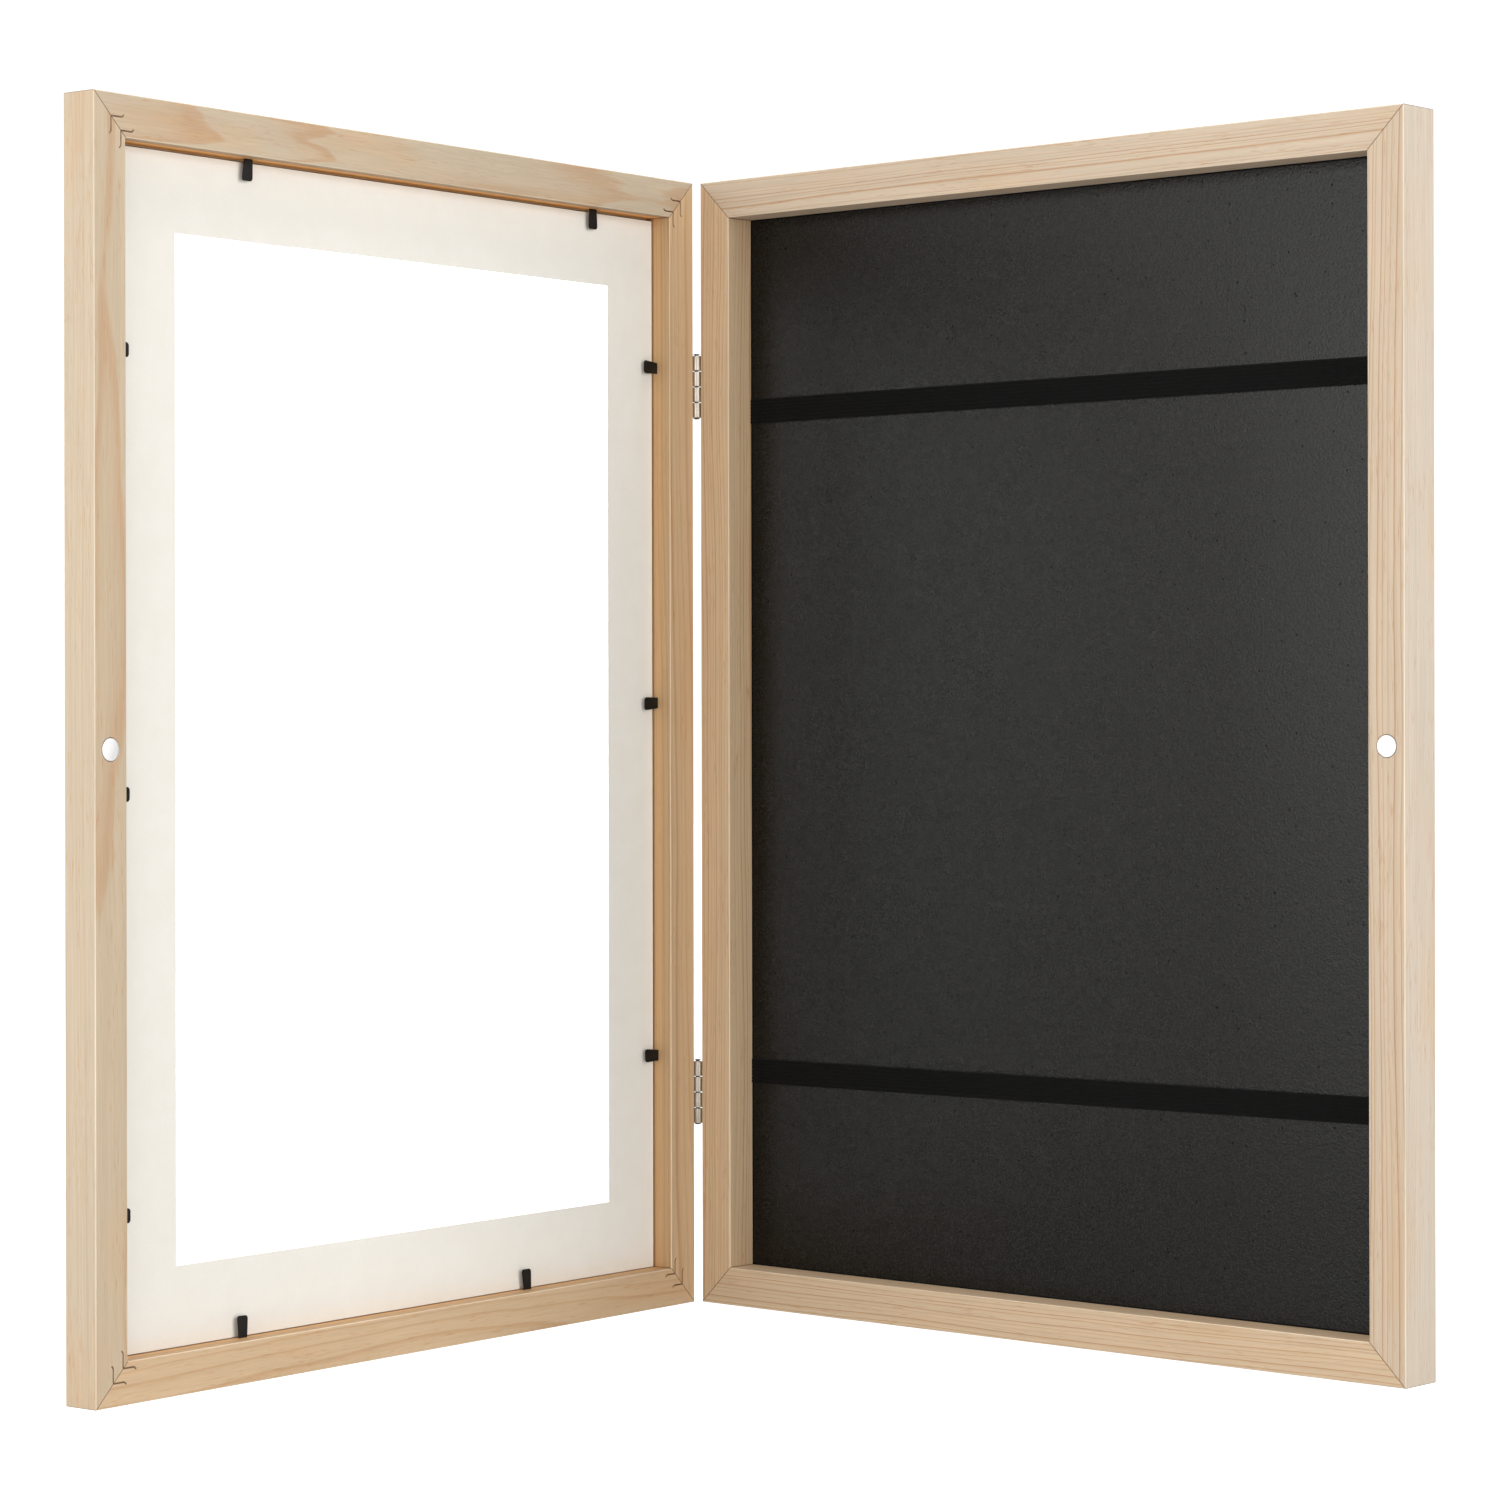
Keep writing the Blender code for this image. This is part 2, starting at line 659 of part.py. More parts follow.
def hanger_stations():
    """Rows of (x, distance off the rail, lower edge) along the sawtooth hanger."""
    end = HANGER_LENGTH / 2
    foot = end - HANGER_FOOT
    flat = foot - HANGER_RAMP
    pitch = 2 * flat / HANGER_TEETH
    rows = [(-end, 0, 0), (-foot, 0, 0), (-flat, HANGER_RISE, 0)]
    for tooth in range(HANGER_TEETH):
        start = -flat + tooth * pitch
        rows += [(start + pitch / 2, HANGER_RISE, HANGER_TOOTH_DEPTH), (start + pitch, HANGER_RISE, 0)]
    return rows + [(foot, 0, 0), (end, 0, 0)]


def hanger_nail_places():
    """Distances of the two hanger nails from the middle."""
    offset = HANGER_LENGTH / 2 - HANGER_FOOT / 2
    return (-offset, offset)


def wall_hanger(box, material):
    """Sawtooth hanger nailed to the back of the top rail."""
    width = FACE_WIDTH - BOX_REBATE_WIDTH
    base = FRAME_HEIGHT - width / 2 - HANGER_HEIGHT / 2
    seat = box.y(BOX_DEPTH) + TOUCH
    rings = []
    for x, rise, cut in hanger_stations():
        near = seat + rise
        far = near + HANGER_THICKNESS
        top = base + HANGER_HEIGHT
        rings.append([(x, near, base + cut), (x, far, base + cut), (x, far, top), (x, near, top)])
    mesh = bmesh.new()
    add_rings(mesh, rings)
    hanger = add_piece(box, "wall_hanger", mesh, material)
    holes = bmesh.new()
    hole = HANGER_NAIL_RADIUS + TOUCH
    head = seat + HANGER_THICKNESS + TOUCH
    depth = HANGER_NAIL_LENGTH
    stations = ((head + HANGER_NAIL_HEAD_THICKNESS, HANGER_NAIL_HEAD_RADIUS * 3 / 4),
                (head, HANGER_NAIL_HEAD_RADIUS), (head, HANGER_NAIL_RADIUS),
                (head - depth, HANGER_NAIL_RADIUS), (head - depth - HANGER_NAIL_RADIUS, HANGER_NAIL_RADIUS / 4))
    bottom = stations[-1][0] - TOUCH
    for name, x in zip(("hanger_nail_left", "hanger_nail_right"), hanger_nail_places()):
        where = place(x, 0, base + HANGER_HEIGHT / 2)
        nail = bmesh.new()
        add_turned(nail, stations, "Y")
        add_piece(box, name, nail, material, where)
        add_turned(holes, ((seat - OVERRUN, hole), (head + OVERRUN, hole)), "Y", where)
        add_turned(box.sockets, ((bottom, hole), (seat + OVERRUN, hole)), "Y", where)
    combine(hanger, add_tool(box, "wall_hanger_holes", holes), "DIFFERENCE")


def add_carrier(name, location, turn):
    """Empty that carries one half of the frame."""
    carrier = bpy.data.objects.new(name, None)
    carrier.location = location
    carrier.rotation_euler = (0, 0, math.radians(turn))
    bpy.context.collection.objects.link(carrier)
    return carrier


def build():
    """Builds the whole frame with the door open."""
    for thing in list(bpy.data.objects):
        bpy.data.objects.remove(thing, do_unlink=True)

    box_pine = finish("box_pine", (0.70, 0.53, 0.36), 0.6)
    door_pine = finish("door_pine", (0.64, 0.47, 0.31), 0.6)
    board_paper = finish("board_paper", (0.035, 0.034, 0.032), 0.75)
    elastic = finish("elastic", (0.008, 0.008, 0.008), 0.9)
    magnet_nickel = finish("magnet_nickel", (0.80, 0.80, 0.82), 0.25, metallic=1.0)
    acrylic = finish("acrylic", (0.95, 0.97, 0.97), 0.05, alpha=0.2)
    mat_card = finish("mat_card", (0.85, 0.81, 0.74), 0.9)
    black_plastic = finish("black_plastic", (0.015, 0.014, 0.012), 0.5)
    nail_steel = finish("nail_steel", (0.35, 0.33, 0.30), 0.4, metallic=1.0)
    hinge_nickel = finish("hinge_nickel", (0.66, 0.60, 0.53), 0.3, metallic=1.0)
    zinc = finish("zinc", (0.60, 0.60, 0.60), 0.4, metallic=1.0)

    box = Half("box", -BOX_DEPTH / 2, 1, add_carrier("box_middle", Vector((0, 0, 0)), 0))
    door_axis = add_carrier("door_axis", Vector((AXIS_X, AXIS_Y, 0)), -OPEN_ANGLE)
    door = Half("door", -BOX_DEPTH / 2 - FACE_GAP, -1, door_axis)

    box_mouldings(box, box_pine)
    back_board(box, board_paper)
    straps(box, elastic)
    magnet(box, magnet_nickel)
    board_points(box, zinc)
    wall_hanger(box, zinc)

    door_mouldings(door, door_pine)
    clear_sheet(door, acrylic)
    mat_board(door, mat_card)
    tabs(door, black_plastic)
    v_nails(door, nail_steel)
    magnet(door, magnet_nickel)

    hinges(box, door, hinge_nickel)
    cut_sockets(box)
    cut_sockets(door)


build()
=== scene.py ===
"""Dressed scene of a front-opening art frame that stands open.

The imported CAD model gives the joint, and the nodes that every piece here stands for. The
pieces have the nodes' sizes, with finer edges and a finish of their own, but the hinge
barrels are a little thicker and the straps slope as they hang. Lengths are in metres.

Words for a half of the frame: "along" runs along a moulding from its middle, "across" from
its outer edge inwards, and "depth" from the inner face, the one that meets the other half.
"""

import json
import logging
import math
from dataclasses import dataclass, field
from enum import Enum

import bmesh
import bpy
import numpy as np
from mathutils import Matrix, Vector

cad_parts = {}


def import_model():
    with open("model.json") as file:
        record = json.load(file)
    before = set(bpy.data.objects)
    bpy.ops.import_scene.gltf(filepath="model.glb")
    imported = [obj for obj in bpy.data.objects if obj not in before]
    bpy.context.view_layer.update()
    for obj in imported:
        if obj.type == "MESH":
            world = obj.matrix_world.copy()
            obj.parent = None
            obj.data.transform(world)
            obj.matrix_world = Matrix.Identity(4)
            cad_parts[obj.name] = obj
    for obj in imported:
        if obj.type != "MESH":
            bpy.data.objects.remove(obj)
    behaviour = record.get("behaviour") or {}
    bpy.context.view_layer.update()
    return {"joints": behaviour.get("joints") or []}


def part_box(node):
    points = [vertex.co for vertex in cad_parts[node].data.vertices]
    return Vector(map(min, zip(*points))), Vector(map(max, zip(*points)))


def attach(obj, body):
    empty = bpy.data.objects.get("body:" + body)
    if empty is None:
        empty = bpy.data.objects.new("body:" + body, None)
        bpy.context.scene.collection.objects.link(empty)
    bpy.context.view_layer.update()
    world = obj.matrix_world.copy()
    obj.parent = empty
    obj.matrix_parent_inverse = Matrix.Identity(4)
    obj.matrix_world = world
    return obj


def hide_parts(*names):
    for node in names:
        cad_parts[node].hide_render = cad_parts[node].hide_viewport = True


LOG = logging.getLogger("art_frame")
Array = np.ndarray
Colour = tuple[float, float, float]
Socket = bpy.types.NodeSocket


class Side(Enum):
    """The four mouldings of a half, by the ending of their names."""

    BOTTOM = "rail_bottom"
    TOP = "rail_top"
    HINGE = "stile_hinge"
    FREE = "stile_free"


class Corner(Enum):
    """The four corners of a half, by the ending of their names."""

    BOTTOM_HINGE = "bottom_hinge"
    BOTTOM_FREE = "bottom_free"
    TOP_FREE = "top_free"
    TOP_HINGE = "top_hinge"


class Slot(Enum):
    """The record's material slots."""

    BOX_PINE = "box_pine"
    DOOR_PINE = "door_pine"
    BOARD_PAPER = "board_paper"
    ELASTIC = "elastic"
    MAGNET_NICKEL = "magnet_nickel"
    ACRYLIC = "acrylic"
    MAT_CARD = "mat_card"
    BLACK_PLASTIC = "black_plastic"
    NAIL_STEEL = "nail_steel"
    HINGE_NICKEL = "hinge_nickel"
    ZINC = "zinc"


# ---------------------------------------------------------------- shapes


@dataclass
class Shell:
    """Closed surface.

    Attributes:
        points: rows of X, Y and Z.
        quads: rows of four point numbers.
        caps: the faces that close its ends, each a list of point numbers.
    """

    points: Array
    quads: Array
    caps: list[list[int]]

    def moved(self, matrix: Matrix) -> "Shell":
        """The same shell, its points carried by a 4 x 4 matrix."""
        turn = np.array(matrix)
        return Shell(self.points @ turn[:3, :3].T + turn[:3, 3], self.quads, self.caps)


def joined(shells: list[Shell]) -> Shell:
    """One shell out of several.

    Each shell's point numbers are raised by the count of the points before it.

    Args:
        shells: shells that may touch but share no points.

    Returns:
        The shell of them all.
    """
    starts = np.cumsum([0] + [len(shell.points) for shell in shells[:-1]]).tolist()
    caps = [(np.array(cap) + start).tolist() for shell, start in zip(shells, starts) for cap in shell.caps]
    quads = np.concatenate([shell.quads + start for shell, start in zip(shells, starts)])
    return Shell(np.concatenate([shell.points for shell in shells]), quads, caps)


def lofted(rings: Array, loop: bool = False) -> Shell:
    """Skin over a row of closed rings of points.

    Face (i, j) joins points j and j + 1 of ring i to the same points of ring i + 1, where
    the point after the last is the first.

    Args:
        rings: array of ring, point and coordinate.
        loop: whether the last ring joins the first one, instead of caps on both ends.

    Returns:
        The closed shell.
    """
    count, size = rings.shape[:2]
    ring, point = np.meshgrid(np.arange(count if loop else count - 1), np.arange(size), indexing="ij")
    near, far = ring * size, (ring + 1) % count * size
    follow = (point + 1) % size
    quads = np.stack((near + point, near + follow, far + follow, far + point), axis=-1).reshape(-1, 4)
    last = np.arange(size)
    caps = [] if loop else [last[::-1].tolist(), (last + (count - 1) * size).tolist()]
    return Shell(rings.reshape(-1, 3), quads, caps)


def unit(vectors: Array) -> Array:
    """Rows of vectors, each divided by its own length."""
    return vectors / np.linalg.norm(vectors, axis=-1, keepdims=True)


def smooth(value: Array) -> Array:
    """Smooth step: 3 t^2 - 2 t^3, with t held between zero and one."""
    t = np.clip(value, 0, 1)
    return t * t * (3 - 2 * t)


def filleted(corners: Array, radii: Array, steps: int, lead: float = 0.0) -> Array:
    """Closed outline with rounded corners.

    At a corner whose edges part by an angle 2h, the arc of radius r has its centre r / sin(h)
    away on the bisector and touches both edges r / tan(h) from the corner. Its points are the
    spherical blend of the two touching radii.

    Args:
        corners: rows of the two coordinates of a corner.
        radii: the radius at each corner.
        steps: the number of chords of each arc.
        lead: length of a straight piece kept on both sides of each arc, so that flats shade flat.

    Returns:
        Rows of the outline's points.
    """
    before = unit(np.roll(corners, 1, axis=0) - corners)
    after = unit(np.roll(corners, -1, axis=0) - corners)
    half = np.arccos(np.clip((before * after).sum(axis=1), -1, 1)) / 2
    reach = (radii / np.tan(half))[:, None]
    centre = corners + unit(before + after) * (radii / np.sin(half))[:, None]
    start = corners + before * reach - centre
    end = corners + after * reach - centre
    sweep = (np.pi - 2 * half)[:, None, None]
    share = np.linspace(0, 1, steps + 1)[None, :, None]
    arcs = np.sin((1 - share) * sweep) * start[:, None] + np.sin(share * sweep) * end[:, None]
    arcs = arcs / np.sin(sweep) + centre[:, None]
    if lead > 0:
        arrive = (corners + before * (reach + lead))[:, None]
        leave = (corners + after * (reach + lead))[:, None]
        arcs = np.concatenate((arrive, arcs, leave), axis=1)
    return arcs.reshape(-1, 2)


def inset(outline: Array, amount: float) -> Array:
    """Closed outline pulled in by an even amount.

    Each point moves along the sum n of its two edge normals by 2 n / |n|^2, which keeps both
    edges parallel to themselves. The sign of the enclosed area tells which side is inside.

    Args:
        outline: rows of the outline's points.
        amount: how far the edges move inwards.

    Returns:
        Rows of the moved points.
    """
    follow = np.roll(outline, -1, axis=0)
    edge = unit(follow - outline)
    turn = np.sign((outline[:, 0] * follow[:, 1] - follow[:, 0] * outline[:, 1]).sum())
    normal = np.stack((-edge[:, 1], edge[:, 0]), axis=1) * turn
    mean = normal + np.roll(normal, 1, axis=0)
    return outline + amount * mean * 2 / (mean**2).sum(axis=1, keepdims=True)


def plate(outline: Array, low: float, high: float, chamfer: float) -> Array:
    """Rings of a flat piece: its outline is pulled in by the chamfer at both of its faces.

    Args:
        outline: rows of the outline's two coordinates.
        low: third coordinate of one face.
        high: third coordinate of the other face.
        chamfer: width of the slope along both edges.

    Returns:
        Four rings, with the third coordinate last.
    """
    small = inset(outline, chamfer)
    heights = (low, low + chamfer, high - chamfer, high)
    rows = (small, outline, outline, small)
    return np.stack([np.column_stack((row, np.full(len(row), z))) for row, z in zip(rows, heights)])


def turned(stations: Array, sides: int) -> Array:
    """Rings of a turned piece about its third axis: radius times cosine and sine of even angles.

    Args:
        stations: rows of radius and height.
        sides: points in each ring.

    Returns:
        Array of ring, point and coordinate.
    """
    angle = np.arange(sides) * 2 * np.pi / sides
    radius, height = stations[:, :1], stations[:, 1:]
    flat = np.zeros_like(angle)
    return np.stack((radius * np.cos(angle), radius * np.sin(angle), height + flat), axis=-1)


def domed(radius: float, height: float) -> Array:
    """Profile of a low dome, from just inside its rim to a small flat on top.

    With t from 0 to a right angle, the radius goes with the cosine of 0.93 t, which leaves the
    flat, and the height with the sine of t.

    Args:
        radius: radius of the rim.
        height: height of the dome.

    Returns:
        Rows of radius and height, without the rim itself.
    """
    angle = np.linspace(0, 1, 6)[1:] * np.pi / 2
    return np.column_stack((radius * np.cos(angle * 0.93), height * np.sin(angle)))


def strip(path: Array, section: Array) -> Array:
    """Rings of a section carried along a flat path.

    Point k of station i is the path's point plus the section's first value times the path's
    normal there, at the section's second value as height.

    Args:
        path: rows of two coordinates.
        section: rows of sideways distance and height.

    Returns:
        Array of station, section point and coordinate.
    """
    runs = unit(np.diff(path, axis=0))
    ahead = np.concatenate((runs, runs[-1:]))
    behind = np.concatenate((runs[:1], runs))
    mean = np.stack((-(ahead + behind)[:, 1], (ahead + behind)[:, 0]), axis=1)
    normal = mean * 2 / (mean**2).sum(axis=1, keepdims=True)
    flat = path[:, None] + normal[:, None] * section[None, :, :1]
    height = np.broadcast_to(section[None, :, 1:], (*flat.shape[:2], 1))
    return np.concatenate((flat, height), axis=-1)


def bars(width: Array, thickness: float, chamfer: float) -> Array:
    """Chamfered rectangles, one for each width.

    Args:
        width: half of the width at each station.
        thickness: the same everywhere, centred on zero.
        chamfer: cut at each corner.

    Returns:
        Array of station, eight points, and the two coordinates sideways and through.
    """
    half = thickness / 2
    sideways = np.array((-1, 1, 1, 1, 1, -1, -1, -1))
    pulled = np.array((1, 1, 0, 0, 1, 1, 0, 0)) * chamfer
    through = np.array((-half, -half, chamfer - half, half - chamfer, half, half, half - chamfer, chamfer - half))
    across = sideways * (width[:, None] - pulled)
    return np.stack((across, np.broadcast_to(through, across.shape)), axis=-1)


# ---------------------------------------------------------------- halves of the frame


@dataclass(frozen=True)
class FrameSize:
    """Sizes that both halves share."""

    width: float = 0.4191
    height: float = 0.5715
    face: float = 0.01905
    arris: float = 0.0005
    inner_arris: float = 0.00015
    face_gap: float = 0.0005
    touch: float = 0.0003
    box_depth: float = 0.0254
    box_lip: float = 0.0175
    box_rebate: float = 0.007
    door_depth: float = 0.01905
    door_lip: float = 0.0039
    door_lip_width: float = 0.0054


@dataclass(frozen=True)
class Half:
    """The box or the door.

    Attributes:
        body: the CAD body that its pieces ride on.
        face: Y of the inner face while the door is closed.
        way: 1 where depth runs towards +Y, -1 where it runs towards -Y.
        rest: the turn from the closed door to the place at rest.
        size: sizes of the frame.
    """

    body: str
    face: float
    way: int
    rest: Matrix
    size: FrameSize

    def place(self, x: float, y: float, z: float, turn: float = 0.0) -> Matrix:
        """Placement at rest of a point and a turn about Y in degrees, given with the door closed."""
        return self.rest @ Matrix.Translation((x, y, z)) @ Matrix.Rotation(math.radians(turn), 4, "Y")

    def y(self, depth: float) -> float:
        """Y of a depth, with the door closed."""
        return self.face + self.way * depth

    def length(self, side: Side) -> float:
        """Length of a moulding along its outer edge."""
        return self.size.width if side in (Side.BOTTOM, Side.TOP) else self.size.height

    def at(self, side: Side) -> Matrix:
        """Placement of a moulding, whose own axes are along, depth times way, and across.

        Args:
            side: the moulding.

        Returns:
            The placement at rest.
        """
        edge, middle = self.size.width / 2, self.size.height / 2
        return {
            Side.BOTTOM: self.place(0, self.face, 0),
            Side.TOP: self.place(0, self.face, self.size.height, 180),
            Side.HINGE: self.place(-edge, self.face, middle, 90),
            Side.FREE: self.place(edge, self.face, middle, -90),
        }[side]

    def on(self, side: Side, share: float, across: float = 0.0) -> Matrix:
        """Placement on a moulding.

        Args:
            side: the moulding.
            share: share of its length, from the left or from the bottom.
            across: distance from its outer edge.

        Returns:
            The placement, with the moulding's own axes.
        """
        step = self.length(side) * (share - 1 / 2)
        flipped = side in (Side.TOP, Side.HINGE)
        return self.at(side) @ Matrix.Translation((-step if flipped else step, 0, across))

    def corner(self, corner: Corner) -> Matrix:
        """Placement of an outer corner, with X and Z along the two mouldings that meet there.

        Args:
            corner: the corner.

        Returns:
            The placement at rest.
        """
        edge, top = self.size.width / 2, self.size.height
        return {
            Corner.BOTTOM_HINGE: self.place(-edge, self.face, 0),
            Corner.BOTTOM_FREE: self.place(edge, self.face, 0, -90),
            Corner.TOP_FREE: self.place(edge, self.face, top, 180),
            Corner.TOP_HINGE: self.place(-edge, self.face, top, 90),
        }[corner]


# ---------------------------------------------------------------- node trees


def rgba(colour: Colour) -> tuple[float, float, float, float]:
    """A colour with full alpha."""
    return (*colour, 1.0)


def tint(red: float, green: float, blue: float) -> Colour:
    """Linear colour of a screen colour given from 0 to 255.

    Each channel c / 255 is divided by 12.92 below 0.04045, and otherwise goes through
    ((c + 0.055) / 1.055) to the power of 2.4.

    Args:
        red: red channel.
        green: green channel.
        blue: blue channel.

    Returns:
        The three linear channels.
    """
    share = np.array((red, green, blue)) / 255
    linear = np.where(share <= 0.04045, share / 12.92, ((share + 0.055) / 1.055) ** 2.4)
    return tuple(linear.tolist())


class Tree:
    """Node tree with short calls to add nodes and to join them."""

    def __init__(self, tree: bpy.types.NodeTree) -> None:
        """Keeps the tree that the calls work on."""
        self.tree = tree

    def add(self, kind: str, inputs: dict | None = None, **settings: object) -> bpy.types.Node:
        """New node with its settings made and its inputs fed.

        Args:
            kind: type of the node without its leading "ShaderNode".
            inputs: a plain value or an output socket for the name or number of an input.
            settings: properties of the node.

        Returns:
            The node.
        """
        node = self.tree.nodes.new("ShaderNode" + kind)
        for key, value in settings.items():
            setattr(node, key, value)
        self.feed(node, inputs or {})
        return node

    def feed(self, node: bpy.types.Node, inputs: dict) -> None:
        """Feeds a node's inputs.

        Args:
            node: node of this tree.
            inputs: a plain value or an output socket for the name or number of an input.
        """
        for key, value in inputs.items():
            if isinstance(value, Socket):
                self.tree.links.new(value, node.inputs[key])
            else:
                node.inputs[key].default_value = value

    def sum(self, operation: str, *values: object) -> Socket:
        """Result of a Math node on values or sockets."""
        return self.add("Math", dict(enumerate(values)), operation=operation).outputs[0]

    def scaled(self, vector: Socket, scale: tuple[float, float, float]) -> Socket:
        """Vector times a scale on each axis."""
        return self.add("VectorMath", {0: vector, 1: scale}, operation="MULTIPLY").outputs[0]

    def blend(self, share: object, first: object, second: object) -> Socket:
        """Colour between two colours."""
        return self.add("Mix", {0: share, 6: first, 7: second}, data_type="RGBA").outputs[2]

    def span(self, value: object, low: float, high: float, start: float = 0.0, end: float = 1.0) -> Socket:
        """Value mapped smoothly from one range onto another, and held at its ends."""
        inputs = {0: value, 1: low, 2: high, 3: start, 4: end}
        return self.add("MapRange", inputs, interpolation_type="SMOOTHSTEP").outputs[0]

    def noise(self, vector: object, scale: object, detail: float = 2.0, rough: float = 0.5) -> Socket:
        """Noise from 0 to 1 at a point."""
        inputs = {"Vector": vector, "Scale": scale, "Detail": detail, "Roughness": rough}
        return self.add("TexNoise", inputs).outputs[0]

    def ramp(self, value: Socket, stops: tuple[tuple[float, float], ...]) -> Socket:
        """Grey value read off a line through stops.

        Args:
            value: position on the line, from 0 to 1.
            stops: position and grey value of each stop, of which there are two or more.

        Returns:
            The grey value.
        """
        node = self.add("ValToRGB", {0: value})
        steps = node.color_ramp.elements
        for position, _ in stops[2:]:
            steps.new(position)
        for step, (position, grey) in zip(steps, sorted(stops)):
            step.position = position
            step.color = (grey, grey, grey, 1)
        return node.outputs[0]

    def axes(self, vector: Socket) -> tuple[Socket, Socket, Socket]:
        """The three parts of a vector."""
        return tuple(self.add("SeparateXYZ", {0: vector}).outputs)

    def use(self, group: bpy.types.NodeTree, inputs: dict) -> bpy.types.Node:
        """A shared effect, with its own values."""
        return self.add("Group", inputs, node_tree=group)

    def finish(self, outputs: dict[str, Socket]) -> None:
        """Feeds the outputs of a group."""
        self.feed(self.tree.nodes.new("NodeGroupOutput"), outputs)


def new_group(name: str, inputs: dict[str, str], outputs: tuple[str, ...]) -> tuple[Tree, dict[str, Socket]]:
    """Empty shared effect.

    Args:
        name: name of the group.
        inputs: kind of socket for the name of each input.
        outputs: names of its float outputs.

    Returns:
        Its tree, and the sockets that bring in the inputs.
    """
    group = bpy.data.node_groups.new(name, "ShaderNodeTree")
    for key, kind in inputs.items():
        group.interface.new_socket(name=key, in_out="INPUT", socket_type="NodeSocket" + kind)
    for key in outputs:
        group.interface.new_socket(name=key, in_out="OUTPUT", socket_type="NodeSocketFloat")
    start = group.nodes.new("NodeGroupInput")
    return Tree(group), {key: start.outputs[key] for key in inputs}


class Effects:
    """The effects that several finishes share, each a node group that is built once."""

    def __init__(self) -> None:
        """Builds every group."""
        self.rings = self._rings()
        self.fibres = self._fibres()
        self.mottle = self._mottle()
        self.specks = self._specks()
        self.handling = self._handling()

    @staticmethod
    def _rings() -> bpy.types.NodeTree:
        """Growth rings around the pith.

        The distance from the pith, bent by noise that is long along the log, is counted in
        rings. Within a ring the wood darkens slowly and ends in a sharp late edge. A random
        number of the ring sets how dark that edge is.

        Returns:
            The group.
        """
        inputs = {"Log": "Vector", "Spacing": "Float", "Wobble": "Float"}
        tree, start = new_group("growth_rings", inputs, ("Late", "Ring"))
        wide = tree.noise(tree.scaled(start["Log"], (3.0, 22.0, 22.0)), 1.0, 2.0)
        fine = tree.noise(tree.scaled(start["Log"], (14.0, 120.0, 120.0)), 1.0, 2.0)
        bend = tree.sum("MULTIPLY", tree.sum("SUBTRACT", wide, 0.5), start["Wobble"])
        tremble = tree.sum("MULTIPLY", tree.sum("SUBTRACT", fine, 0.5), tree.sum("MULTIPLY", start["Spacing"], 0.45))
        flat = tree.scaled(start["Log"], (0.0, 1.0, 1.0))
        radius = tree.add("VectorMath", {0: flat}, operation="LENGTH").outputs["Value"]
        bent = tree.sum("ADD", tree.sum("ADD", radius, bend), tremble)
        season = tree.add("TexNoise", {"W": bent, "Scale": 160.0, "Detail": 1.0}, noise_dimensions="1D").outputs[0]
        drift = tree.sum("MULTIPLY", tree.sum("SUBTRACT", season, 0.5), tree.sum("MULTIPLY", start["Spacing"], 2.2))
        count = tree.sum("DIVIDE", tree.sum("ADD", bent, drift), start["Spacing"])
        share = tree.sum("FRACT", count)
        late = tree.ramp(share, ((0.0, 0.0), (1.0, 0.0), (0.45, 0.03), (0.76, 0.24), (0.9, 1.0), (0.96, 0.9)))
        chance = tree.add("TexWhiteNoise", {"W": tree.sum("FLOOR", count)}, noise_dimensions="1D").outputs["Value"]
        tree.finish({"Late": tree.sum("MULTIPLY", late, tree.span(chance, 0.0, 1.0, 0.35, 1.0)), "Ring": chance})
        return tree.tree

    @staticmethod
    def _fibres() -> bpy.types.NodeTree:
        """Fibres of sawn wood: noise that is long along the log, and sparse short resin canals.

        Returns:
            The group, whose streak, band, canal and patch all run from 0 to 1.
        """
        tree, start = new_group("wood_fibres", {"Log": "Vector"}, ("Streak", "Band", "Canal", "Patch"))
        streak = tree.noise(tree.scaled(start["Log"], (40.0, 1500.0, 1500.0)), 1.0, 3.0, 0.6)
        band = tree.noise(tree.scaled(start["Log"], (7.0, 210.0, 210.0)), 1.0, 2.0)
        dash = tree.noise(tree.scaled(start["Log"], (120.0, 1900.0, 1900.0)), 1.0, 1.0)
        sparse = tree.noise(tree.scaled(start["Log"], (25.0, 260.0, 260.0)), 1.0, 1.0)
        canal = tree.sum("MULTIPLY", tree.span(dash, 0.56, 0.7), tree.span(sparse, 0.42, 0.62))
        patch = tree.noise(tree.scaled(start["Log"], (9.0, 42.0, 42.0)), 1.0, 2.0)
        tree.finish({"Streak": streak, "Band": band, "Canal": canal, "Patch": patch})
        return tree.tree

    @staticmethod
    def _mottle() -> bpy.types.NodeTree:
        """Uneven surface of paper, card and board: fine noise over broad noise.

        Returns:
            The group, whose fine and broad values run from 0 to 1.
        """
        tree, start = new_group("mottle", {"Place": "Vector", "Scale": "Float"}, ("Fine", "Broad"))
        fine = tree.noise(start["Place"], start["Scale"], 3.0)
        broad = tree.noise(start["Place"], tree.sum("MULTIPLY", start["Scale"], 0.06))
        tree.finish({"Fine": fine, "Broad": broad})
        return tree.tree

    @staticmethod
    def _specks() -> bpy.types.NodeTree:
        """Sparse specks: the few cells whose random number is high, within a radius of their middle.

        Returns:
            The group, whose mask is 1 on a speck.
        """
        inputs = {"Place": "Vector", "Scale": "Float", "Share": "Float", "Radius": "Float"}
        tree, start = new_group("specks", inputs, ("Mask",))
        cell = tree.add("TexVoronoi", {"Vector": start["Place"], "Scale": start["Scale"]})
        chance = tree.add("SeparateColor", {0: cell.outputs["Color"]}).outputs[0]
        few = tree.sum("LESS_THAN", chance, start["Share"])
        near = tree.sum("LESS_THAN", cell.outputs["Distance"], start["Radius"])
        tree.finish({"Mask": tree.sum("MULTIPLY", few, near)})
        return tree.tree

